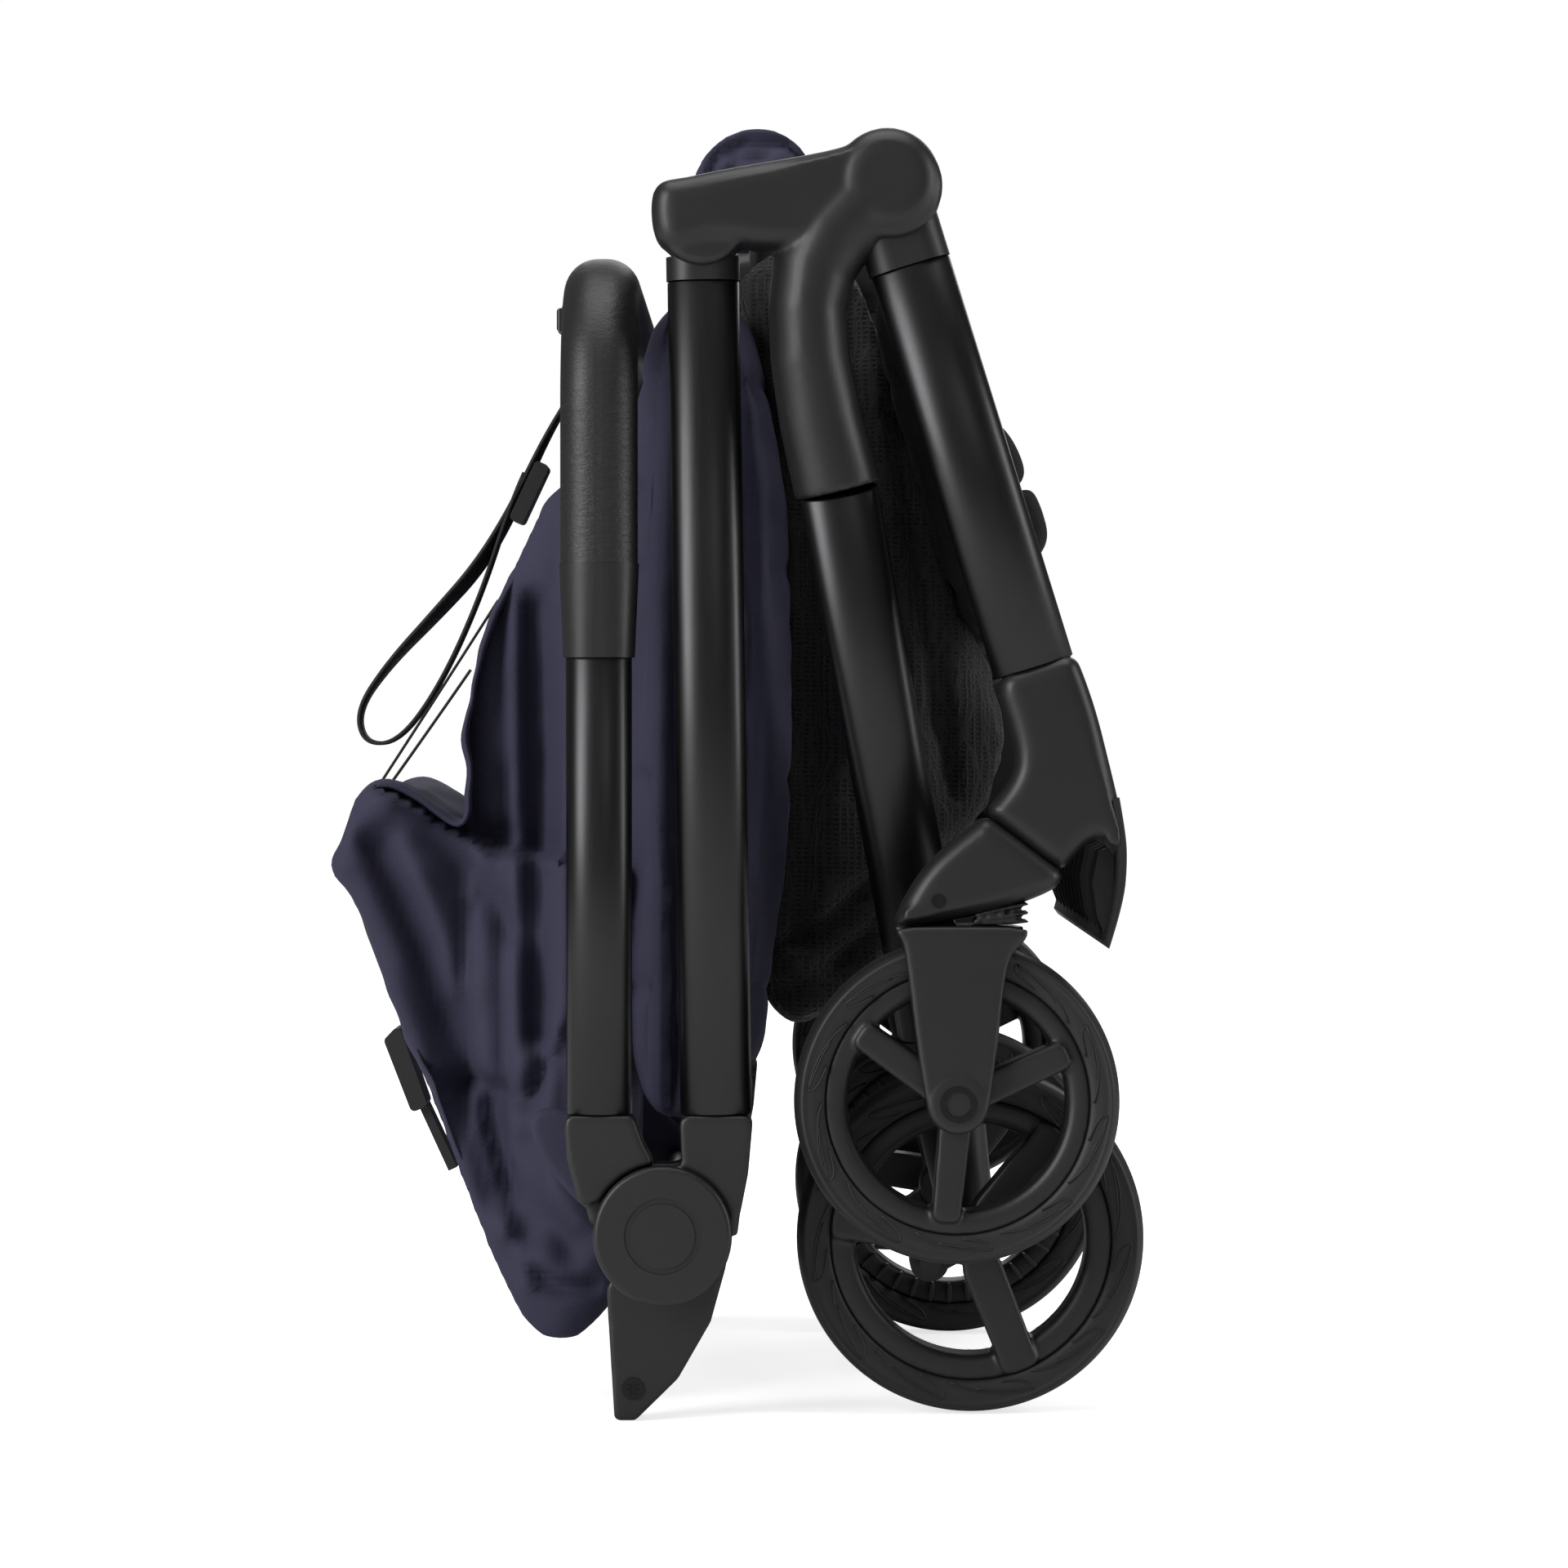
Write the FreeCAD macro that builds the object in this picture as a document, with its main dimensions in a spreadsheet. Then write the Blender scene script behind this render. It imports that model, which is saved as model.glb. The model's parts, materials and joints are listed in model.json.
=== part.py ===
import FreeCAD, Part
import math
import os
import re
import Sketcher
from FreeCAD import Placement, Rotation, Vector

# A compact stroller, folded and standing on its two rear wheels and the two fins of the
# handlebar hinges. X points to the front, Y to the stroller's left, Z up, millimetres.
# The origin is on the floor, under the middle of the folded stroller.

doc = FreeCAD.newDocument("stroller")

# ---------------------------------------------------------------- driving dimensions
SIZES = {
    # side rails: both sides mirror each other about the middle plane
    "rail_half": 195.0,            # middle plane to the plane of a side rail
    "tube_deep": 22.0,             # depth (y) of the oval frame tubes
    "tube_wall": 1.6,
    "play": 0.6,                   # gap between pieces that turn past each other
    "pin_play": 0.05,              # radial clearance of every running pin
    # hub with its two pivots
    "handle_x": -14.2, "handle_z": 505.7,      # pivot of the handlebar
    "leg_x": 61.5, "leg_z": 520.7,             # pivot of the front leg
    "lobe_offset": 2.5,            # centre of the hub's front lobe, in front of the leg pivot
    "hub_tail_radius": 18.0,       # rear end of the hub arm
    "hub_lobe_radius": 21.0,       # front end of the hub arm
    "hub_elbow_deep": 20.0,        # half depth of the elbow that turns down into the rear leg
    "hub_elbow_wide": 17.0,        # half width of the elbow
    "tongue_thick": 8.0,           # tongue of a limb inside the hub's slot
    "tongue_radius": 10.5,
    "pivot_pin_radius": 4.0, "pivot_pin_reach": 14.0,
    "cross_tube_radius": 8.0, "cross_tube_x": 12.0, "cross_tube_z": 510.0,
    # rear legs
    "rear_top_x": 42.9, "rear_top_z": 391.5, "rear_top_half": 190.0,
    "rear_foot_x": 86.0, "rear_foot_z": 160.0, "rear_foot_half": 117.0,
    "rear_tube_wide": 33.0,
    "axle_x": 99.6, "axle_z": 74.2, "axle_radius": 5.0,
    "foot_inner": 98.0, "foot_outer": 124.0,   # the rear foot's faces from the middle plane
    "foot_boss_radius": 15.0,
    # lower handlebar limb
    "hinge_x": -30.6, "hinge_z": 80.5,         # hinge between the limbs
    "lower_foot_x": -8.4, "limb_foot_z": 130.1,
    "tube_seat": 0.25,             # room between a tilted tube's end and the level face under it
    "lower_tube_wide": 30.0, "lower_tube_top": 27.0,   # tube end below the pivot
    # hinge stack, distances from the middle plane
    "fin_inner": 168.0, "fin_outer": 183.0,
    "tongue_inner": 185.0, "tongue_outer": 195.5,
    "cheek_inner": 196.1, "cheek_outer": 205.0,
    "cover_outer": 212.0,
    "cheek_radius": 28.0, "cover_radius": 29.0, "fold_tongue_radius": 26.5,
    "hinge_pin_radius": 5.0,
    "fin_tip_x": -51.5, "fin_tip_wide": 9.0, "fin_screw_radius": 4.8, "fin_screw_z": 13.4,
    "fin_screw_head": 0.7,
    # upper handlebar limb and grip
    "upper_x": -57.4, "upper_tube_wide": 27.5, "collar_z": 321.4, "grip_z": 360.7,
    "grip_top_z": 478.0, "grip_wide": 32.5, "grip_deep": 29.0, "grip_corner": 52.0,
    "collar_top_wide": 33.5, "button_travel": 3.0,
    # front leg, angles are measured in the side view
    "front_foot_x": 124.6, "front_foot_z": 317.0,
    "front_tube_wide": 34.4, "front_tube_top": 37.5,
    "seam_x": 118.1, "seam_z": 242.8,          # swivel seam under the front fitting
    "swivel_lean": 38.3,
    "footboard_half": 206.0, "footboard_thick": 3.5,
    # caster
    "knuckle_half": 15.5,
    "stem_radius": 5.0,
    "spring_x": 84.3, "spring_z": 219.9,       # pivot of the sprung fork
    "crown_z": 205.8, "crown_thick": 3.6,
    "blade_thick": 6.5, "blade_gap": 33.4,     # the two blades and the room between them
    "front_axle_x": 92.3, "front_axle_z": 135.8, "front_axle_radius": 4.0,
    "front_wheel_radius": 68.2, "front_tyre_bead": 47.5, "wheel_wide": 30.0,
    "rear_wheel_radius": 74.2, "rear_tyre_bead": 52.0, "rear_wheel_half": 148.0,
    "rim_lip": 3.8, "wheel_hub_radius": 11.0, "spoke_wide": 12.0, "spoke_thick": 15.0,
    # brake
    "brake_x": 83.0, "brake_z": 60.5, "brake_bar_radius": 4.5,
    # soft goods
    "canopy_half": 157.0, "seat_half": 165.0, "basket_half": 98.0,
    "strap_wide": 16.0, "strap_thick": 1.8, "elastic_radius": 0.7,
}

sheet = doc.addObject("Spreadsheet::Sheet", "Sizes")
for row, (alias, number) in enumerate(SIZES.items(), start=1):
    sheet.set(f"A{row}", alias.replace("_", " "))
    sheet.set(f"B{row}", repr(number))
    sheet.setAlias(f"B{row}", alias)
doc.recompute()

SIDES = (("right", -1), ("left", 1))


# ---------------------------------------------------------------- helpers
def on_sheet(text):
    """Point every size in an expression at its cell of the sheet."""
    return re.sub(r"[a-z][a-z_0-9]*", lambda m: f"Sizes.{m[0]}" if m[0] in SIZES else m[0], str(text))


def size(text):
    """The number that an expression has now."""
    return float(sheet.evalExpression(on_sheet(text)))


def bind(thing, prop, text):
    thing.setExpression(prop, on_sheet(text))


def new_body(label):
    body = doc.addObject("PartDesign::Body", label)
    body.Label = label
    return body


def new_sketch(body, plane, offset="0"):
    """A sketch on one of the body's own planes, moved along the plane's normal."""
    sketch = body.newObject("Sketcher::SketchObject", "Outline")
    origin = [o for o in body.Origin.OriginFeatures if o.Role == plane]
    sketch.AttachmentSupport = (origin[0], [""])
    sketch.MapMode = "FlatFace"
    bind(sketch, "AttachmentOffset.Base.z", offset)
    return sketch


def hold(sketch, kind, geometry, point, text):
    """Bind one distance of a sketch point from the origin, or one radius."""
    if kind == "Radius":
        number = sketch.addConstraint(Sketcher.Constraint(kind, geometry, size(text)))
    else:
        number = sketch.addConstraint(Sketcher.Constraint(kind, -1, 1, geometry, point, size(text)))
    bind(sketch, f"Constraints[{number}]", text)


def draw_polygon(sketch, corners):
    """A closed outline whose corners are each held by two bound distances."""
    at = [Vector(size(u), size(v), 0) for u, v in corners]
    for start, stop in zip(at, at[1:] + at[:1]):
        sketch.addGeometry(Part.LineSegment(start, stop), False)
    for number, (u, v) in enumerate(corners):
        sketch.addConstraint(Sketcher.Constraint("Coincident", number, 2, (number + 1) % len(at), 1))
        hold(sketch, "DistanceX", number, 1, u)
        hold(sketch, "DistanceY", number, 1, v)


def draw_circle(sketch, u, v, radius):
    sketch.addGeometry(Part.Circle(Vector(size(u), size(v), 0), Vector(0, 0, 1), size(radius)), False)
    last = sketch.GeometryCount - 1
    hold(sketch, "DistanceX", last, 3, u)
    hold(sketch, "DistanceY", last, 3, v)
    hold(sketch, "Radius", last, 0, radius)


def draw_oval(sketch, wide, deep, u="0", v="0"):
    """A stadium: two straight sides and two half-round ends, wide along u, deep along v."""
    reach, radius = size(f"(({wide}) - ({deep})) / 2"), size(f"({deep}) / 2")
    cu, cv = size(u), size(v)
    ahead, behind, upper, lower = range(sketch.GeometryCount, sketch.GeometryCount + 4)
    for sign, turn in ((1, -90), (-1, 90)):
        arc = Part.ArcOfCircle(Part.Circle(Vector(cu + sign * reach, cv, 0), Vector(0, 0, 1), radius),
                               math.radians(turn), math.radians(turn + 180))
        sketch.addGeometry(arc, False)
    sketch.addGeometry(Part.LineSegment(Vector(cu + reach, cv + radius, 0),
                                        Vector(cu - reach, cv + radius, 0)), False)
    sketch.addGeometry(Part.LineSegment(Vector(cu - reach, cv - radius, 0),
                                        Vector(cu + reach, cv - radius, 0)), False)
    for one, end, two, start in ((ahead, 2, upper, 1), (upper, 2, behind, 1),
                                 (behind, 2, lower, 1), (lower, 2, ahead, 1)):
        sketch.addConstraint(Sketcher.Constraint("Tangent", one, end, two, start))
    hold(sketch, "DistanceX", ahead, 3, f"({u}) + (({wide}) - ({deep})) / 2")
    hold(sketch, "DistanceX", behind, 3, f"({u}) - (({wide}) - ({deep})) / 2")
    hold(sketch, "DistanceY", ahead, 3, v)
    hold(sketch, "Radius", ahead, 0, f"({deep}) / 2")


def draw_tube(sketch, wide, deep, u="0", v="0"):
    """The section of a hollow oval tube."""
    draw_oval(sketch, wide, deep, u, v)
    draw_oval(sketch, f"{wide} - 2 * tube_wall", f"{deep} - 2 * tube_wall", u, v)


def checked(feature, grows):
    """Recompute, and make sure that the feature added or removed material."""
    body = feature.getParentGeoFeatureGroup()
    solids = [f for f in body.Group if f.isDerivedFrom("PartDesign::Feature") and f is not feature]
    before = solids[-1].Shape.Volume if solids else 0.0
    doc.recompute()
    if (feature.Shape.Volume > before) != grows:
        raise RuntimeError(f"{body.Label}: {feature.Name} changed nothing")
    return feature


def add_pad(body, sketch, thick, reverse=False):
    """Pad a sketch by an expression of the sheet, or by a length worked out from two ends."""
    pad = body.newObject("PartDesign::Pad", "Pad")
    pad.Profile = sketch
    pad.Reversed = reverse
    if isinstance(thick, float):
        pad.Length = thick
    else:
        bind(pad, "Length", thick)
    return checked(pad, True)


def cut_pocket(body, sketch, deep, reverse=False):
    pocket = body.newObject("PartDesign::Pocket", "Pocket")
    pocket.Profile = sketch
    pocket.Reversed = reverse
    bind(pocket, "Length", deep)
    return checked(pocket, False)


def layer(side, inner, outer):
    """Lowest y and thickness of a layer between two distances from the middle plane."""
    return (f"-({outer})" if side < 0 else f"{inner}"), f"({outer}) - ({inner})"


def disc(body, side, inner, outer, x, z, radius):
    low, thick = layer(side, inner, outer)
    sketch = new_sketch(body, "XZ_Plane", f"-({low})")
    draw_circle(sketch, x, z, radius)
    return add_pad(body, sketch, thick, reverse=True)


def bore(body, side, inner, outer, x, z, radius):
    low, thick = layer(side, inner, outer)
    sketch = new_sketch(body, "XZ_Plane", f"-({low})")
    draw_circle(sketch, x, z, radius)
    return cut_pocket(body, sketch, thick)


def notch(body, side, inner, outer, corners):
    low, thick = layer(side, inner, outer)
    sketch = new_sketch(body, "XZ_Plane", f"-({low})")
    draw_polygon(sketch, corners)
    return cut_pocket(body, sketch, thick)


def soften(body, radius, keep):
    """Round the edges of the finished body that the rule keeps."""
    sharp = body.Tip
    names = [f"Edge{n}" for n, edge in enumerate(sharp.Shape.Edges, start=1) if keep(edge)]
    fillet = body.newObject("PartDesign::Fillet", "Soft")
    fillet.Base = (sharp, names)
    bind(fillet, "Radius", radius)
    doc.recompute()
    return fillet


def runs_across(edge):
    """An edge that runs along Y: a corner of a side-view outline."""
    first, last = edge.Vertexes[0].Point, edge.Vertexes[-1].Point
    return math.hypot(last.x - first.x, last.z - first.z) < 1e-6 < abs(last.y - first.y)


def in_side_view(y):
    """An edge that lies in a plane of constant y, such as the rim of a side face."""
    return lambda edge: abs(edge.BoundBox.YMin - y) < 1e-4 and abs(edge.BoundBox.YMax - y) < 1e-4


def limb_frame(pivot, foot, y):
    """A placement at a pivot whose -Z runs down the limb to its foot."""
    lean = math.degrees(math.atan2(foot[0] - pivot[0], pivot[1] - foot[1]))
    return Placement(Vector(pivot[0], y, pivot[1]), Rotation(Vector(0, 1, 0), -lean))


def limb_length(pivot, foot):
    return math.dist(pivot, foot)


def pair(label, pieces):
    """Identical pieces of both sides of one moving body, kept as separate solids of one node."""
    group = doc.addObject("Part::Compound", label)
    group.Label = label
    group.Links = pieces
    return group


def solid_feature(label, shape):
    """A piece whose free-form shape is made with Part's own functions from the sheet's sizes."""
    feature = doc.addObject("Part::Feature", label)
    feature.Label = label
    feature.Shape = shape
    feature.Placement = Placement()
    return feature


def side_face(points):
    """A closed side-view outline, straight from point to point."""
    at = [Vector(x, 0, z) for x, z in points]
    return Part.Face(Part.makePolygon(at + at[:1]))


def rounded_face(points, radius):
    """A side-view outline whose corners are arcs, as large as the radius or the sides allow."""
    at = [Vector(x, 0, z) for x, z in points]
    count = len(at)
    edges, joints = [], []
    for n, corner in enumerate(at):
        back, ahead = at[n - 1] - corner, at[(n + 1) % count] - corner
        half = back.getAngle(ahead) / 2
        reach = min(radius / math.tan(half), 0.45 * back.Length, 0.45 * ahead.Length)
        start, stop = corner + back.normalize() * reach, corner + ahead.normalize() * reach
        bisector = (start + stop) * 0.5 - corner
        to_centre = reach / math.cos(half)
        middle = corner + bisector.normalize() * (to_centre - reach * math.tan(half))
        joints.append((start, middle, stop))
    for n, (start, middle, stop) in enumerate(joints):
        edges.append(Part.Arc(start, middle, stop).toShape())
        following = joints[(n + 1) % count][0]
        if (following - stop).Length > 1e-6:
            edges.append(Part.LineSegment(stop, following).toShape())
    return Part.Face(Part.Wire(edges))


def across(face, low, high):
    """Extrude a side-view face from one y to another."""
    face = face.copy()
    face.translate(Vector(0, low, 0))
    return face.extrude(Vector(0, high - low, 0))


def mid_layer(side, inner, outer):
    return (inner, outer) if side > 0 else (-outer, -inner)


def ring_wire(centre, first, second):
    """A closed smooth ring through twelve points of an ellipse with the two half axes."""
    turns = [math.radians(30 * n) for n in range(12)]
    ring = Part.BSplineCurve()
    ring.interpolate([centre + first * math.cos(a) + second * math.sin(a) for a in turns], PeriodicFlag=True)
    return Part.Wire([ring.toShape()])


def rod(x, z, radius, low, high):
    return Part.makeCylinder(radius, high - low, Vector(x, low, z), Vector(0, 1, 0))


def rounded(shape, radius, keep):
    edges = [edge for edge in shape.Edges if keep(edge)]
    return shape.makeFillet(radius, edges)


HANDLE = (size("handle_x"), size("handle_z"))
LEG = (size("leg_x"), size("leg_z"))
LOWER_FOOT = (size("lower_foot_x"), size("limb_foot_z"))
FRONT_FOOT = (size("front_foot_x"), size("front_foot_z"))
RAIL = size("rail_half")


# ---------------------------------------------------------------- hub
def hub_shell(name, side):
    """The moulded hub: an arm between both pivots, and an elbow down to the rear leg."""
    lobe = Vector(size("leg_x + lobe_offset"), 0, size("leg_z"))
    tail = Vector(HANDLE[0], 0, HANDLE[1])
    along = lobe - tail
    long, tail_radius, lobe_radius = along.Length, size("hub_tail_radius"), size("hub_lobe_radius")
    neck = Part.BSplineCurve()
    neck.interpolate([Vector(0, 0, tail_radius), Vector(0.45 * long, 0, tail_radius - 1.2),
                      Vector(long, 0, lobe_radius)],
                     InitialTangent=Vector(1, 0, 0), FinalTangent=Vector(1, 0, 0))
    bend = math.sqrt(0.5)
    tail_end = Part.Arc(Vector(-tail_radius, 0, 0), Vector(-tail_radius * bend, 0, tail_radius * bend),
                        Vector(0, 0, tail_radius))
    lobe_end = Part.Arc(Vector(long, 0, lobe_radius), Vector(long + lobe_radius * bend, 0, lobe_radius * bend),
                        Vector(long + lobe_radius, 0, 0))
    spine = Part.LineSegment(Vector(long + lobe_radius, 0, 0), Vector(-tail_radius, 0, 0))
    half_outline = Part.Wire([edge.toShape() for edge in (tail_end, neck, lobe_end, spine)])
    arm = Part.Face(half_outline).revolve(Vector(), Vector(1, 0, 0), 360)
    arm.Placement = Placement(tail + Vector(0, side * RAIL, 0),
                              Rotation(Vector(0, 1, 0), -math.degrees(math.atan2(along.z, along.x))))
    rear_top = Vector(size("rear_top_x"), side * size("rear_top_half"), size("rear_top_z"))
    foot = Vector(size("rear_foot_x"), side * size("rear_foot_half"), size("rear_foot_z"))
    down = (foot - rear_top).normalize()
    rail = Vector(0, side * RAIL, 0)
    route = Part.BSplineCurve()
    route.buildFromPoles([lobe + rail, lobe + rail - Vector(20, 0, 0), lobe + rail - Vector(36, 0, 8),
                          Vector(rear_top.x - 14, side * RAIL, lobe.z - 42), rear_top - down * 38, rear_top],
                         False, 3)
    stations = []
    for step in range(9):
        at = route.FirstParameter + (route.LastParameter - route.FirstParameter) * step / 8
        share = step / 8
        wide = size("hub_elbow_wide") + 2.0 * (1 - share) ** 3 + 1.3 * share ** 3
        deep = size("hub_elbow_deep") - 3.5 * share ** 3
        direction = route.tangent(at)[0]
        across_it = (Vector(0, 1, 0) - direction * direction.y).normalize()
        centre = route.value(at)
        stations.append(ring_wire(centre, across_it * deep, direction.cross(across_it) * wide))
    elbow = Part.makeLoft(stations, True, False)
    shell = arm.fuse(elbow)
    slot_half = size("tongue_thick / 2 + play")
    slot_low, slot_top, leg_swing_top = -42.0, 11.5, 30.0
    slots = [(HANDLE, 12.0, -40.0, slot_top), (LEG, -12.0, 42.0, slot_top), (LEG, 0.0, 42.0, leg_swing_top)]
    for pivot, start, stop, top in slots:
        low_x, high_x = sorted((pivot[0] + start, pivot[0] + stop))
        shell = shell.cut(Part.makeBox(high_x - low_x, 2 * slot_half, top - slot_low,
                                       Vector(low_x, side * RAIL - slot_half, pivot[1] + slot_low)))
    for pivot in (HANDLE, LEG):
        reach = size("pivot_pin_reach")
        shell = shell.cut(rod(*pivot, size("pivot_pin_radius"), side * RAIL - reach, side * RAIL + reach))
    return solid_feature(f"hub_shell_{name}", shell)


def hub_pivot_pins():
    """Two pivot pins on each side, held by the hub and turning in the limbs' tongues."""
    body = new_body("hub_pivot_pins")
    for _, side in SIDES:
        for x, z in (("handle_x", "handle_z"), ("leg_x", "leg_z")):
            disc(body, side, "rail_half - pivot_pin_reach", "rail_half + pivot_pin_reach", x, z,
                 "pivot_pin_radius")
    return body


def hub_cross_tube():
    body = new_body("hub_cross_tube")
    sketch = new_sketch(body, "XZ_Plane", "rail_half - 16")
    draw_circle(sketch, "cross_tube_x", "cross_tube_z", "cross_tube_radius")
    add_pad(body, sketch, "2 * (rail_half - 16)", reverse=True)
    return body


# ---------------------------------------------------------------- rear legs
def rear_leg_ends(side):
    top = Vector(size("rear_top_x"), side * size("rear_top_half"), size("rear_top_z"))
    foot = Vector(size("rear_foot_x"), side * size("rear_foot_half"), size("rear_foot_z"))
    return top, foot


def rear_leg_tube(name, side):
    """An oval tube that leans in from the hub to the rear foot."""
    top, foot = rear_leg_ends(side)
    body = new_body(f"rear_leg_tube_{name}")
    sketch = new_sketch(body, "XY_Plane")
    draw_tube(sketch, "rear_tube_wide", "tube_deep")
    add_pad(body, sketch, (top - foot).Length, reverse=True)
    body.Placement = Placement(top, leg_rotation(top, foot))
    return body


def leg_rotation(top, foot):
    """Turns the tube's -Z down the leg and keeps its wide side in the side view."""
    up = (top - foot).normalize()
    wide = Vector(1, 0, 0) - up * up.x
    wide.normalize()
    deep = up.cross(wide)
    matrix = FreeCAD.Matrix(wide.x, deep.x, up.x, 0, wide.y, deep.y, up.y, 0, wide.z, deep.z, up.z, 0)
    return Rotation(matrix)


def rear_foot(name, side):
    """The moulded foot: an oval socket that runs into the boss of the rear axle."""
    top, foot = rear_leg_ends(side)
    up = (top - foot).normalize()
    turn = leg_rotation(top, foot)
    middle = side * size("(foot_inner + foot_outer) / 2")
    rings = []
    for share, wide, deep in ((0.0, 17.5, 12.0), (0.35, 15.5, 12.5), (1.0, 12.0, 13.0)):
        axle = Vector(size("axle_x"), middle, size("axle_z + 6"))
        centre = foot + (axle - foot) * share
        rotation = turn if share < 0.3 else Rotation(Vector(0, 1, 0), -9)
        rings.append(ring_wire(centre, rotation.multVec(Vector(wide, 0, 0)),
                               rotation.multVec(Vector(0, deep, 0))))
    leg = Part.makeLoft(rings, True, False)
    low, high = mid_layer(side, size("foot_inner"), size("foot_outer"))
    boss = rod(size("axle_x"), size("axle_z"), size("foot_boss_radius"), low, high)
    boss = rounded(boss, 2.0, lambda edge: edge.Closed)
    heel = rod(size("brake_x"), size("brake_z"), size("brake_bar_radius + 4"), low + 3, high - 3)
    bridge = across(side_face([(size("brake_x"), size("brake_z - 7")), (size("axle_x"), size("axle_z - 12")),
                               (size("axle_x"), size("axle_z + 10")), (size("brake_x - 3"), size("brake_z + 8"))]),
                    low + 3, high - 3)
    shape = leg.fuse([boss, heel, bridge])
    shape = shape.cut(rod(size("axle_x"), size("axle_z"), size("axle_radius"), low - 1, high + 1))
    shape = shape.cut(rod(size("brake_x"), size("brake_z"), size("brake_bar_radius + pin_play"),
                          low - 1, high + 1))
    return solid_feature(f"rear_foot_{name}", shape)


def rear_axle():
    body = new_body("rear_axle")
    sketch = new_sketch(body, "XZ_Plane", "rear_wheel_half + 17")
    draw_circle(sketch, "axle_x", "axle_z", "axle_radius")
    add_pad(body, sketch, "2 * (rear_wheel_half + 17)", reverse=True)
    return body


def brake_bar():
    """The parking brake: a bar between both feet, pawls towards the wheels and a pedal."""
    body = new_body("brake_bar")
    reach = "rear_wheel_half - wheel_wide / 2 - 2"
    sketch = new_sketch(body, "XZ_Plane", reach)
    draw_circle(sketch, "brake_x", "brake_z", "brake_bar_radius")
    add_pad(body, sketch, f"2 * ({reach})", reverse=True)
    plate_corners = (("brake_x - 1", "brake_z + 6"), ("brake_x - 22", "brake_z + 2"),
                     ("brake_x - 23", "brake_z - 3"), ("brake_x - 1", "brake_z - 4"))
    pedal = new_sketch(body, "XZ_Plane", "34")
    draw_polygon(pedal, plate_corners)
    add_pad(body, pedal, "68", reverse=True)
    soften(body, "2.0", lambda edge: runs_across(edge) and edge.CenterOfMass.x < size("brake_x - 15"))
    return body


# ---------------------------------------------------------------- handlebar, lower limb
def oval_tube(label, placement, wide, top, long):
    """A straight oval tube in a limb's own frame, from its top end downwards."""
    body = new_body(label)
    sketch = new_sketch(body, "XY_Plane", f"-({top})")
    draw_tube(sketch, wide, "tube_deep")
    add_pad(body, sketch, long, reverse=True)
    body.Placement = placement
    return body


def limb_cap(label, pivot, foot, side, wide, top, cup_radius, ear):
    """The cap on a limb's tube: a cup round the hub's end, and a tongue into its slot."""
    place = limb_frame(pivot, foot, side * RAIL)
    body = new_body(label)
    sketch = new_sketch(body, "XY_Plane", f"-({top})")
    draw_oval(sketch, f"{wide} + 0.8", "tube_deep + 0.8")
    add_pad(body, sketch, f"({top}) - ({ear})")
    cup = new_sketch(body, "XZ_Plane", "tube_deep")
    draw_circle(cup, "0", "0", cup_radius)
    cut_pocket(body, cup, "2 * tube_deep")
    tongue = new_sketch(body, "XZ_Plane", "tongue_thick / 2")
    draw_polygon(tongue, (("-tongue_radius", f"-({cup_radius}) - 3"), ("tongue_radius", f"-({cup_radius}) - 3"),
                          ("tongue_radius", "0"), ("-tongue_radius", "0")))
    add_pad(body, tongue, "tongue_thick", reverse=True)
    eye = new_sketch(body, "XZ_Plane", "tongue_thick / 2")
    draw_circle(eye, "0", "0", "tongue_radius")
    add_pad(body, eye, "tongue_thick", reverse=True)
    hole = new_sketch(body, "XZ_Plane", "tube_deep")
    draw_circle(hole, "0", "0", "pivot_pin_radius + pin_play")
    cut_pocket(body, hole, "2 * tube_deep")
    body.Placement = place
    return body


def lower_tube(name, side):
    place = limb_frame(HANDLE, LOWER_FOOT, side * RAIL)
    long = limb_length(HANDLE, LOWER_FOOT) - size("lower_tube_top + tube_seat")
    return oval_tube(f"lower_tube_{name}", place, "lower_tube_wide", "lower_tube_top", long)


def lower_cap(name, side):
    return limb_cap(f"lower_cap_{name}", HANDLE, LOWER_FOOT, side, "lower_tube_wide", "lower_tube_top",
                    "hub_tail_radius + play + 1", "17")


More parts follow.
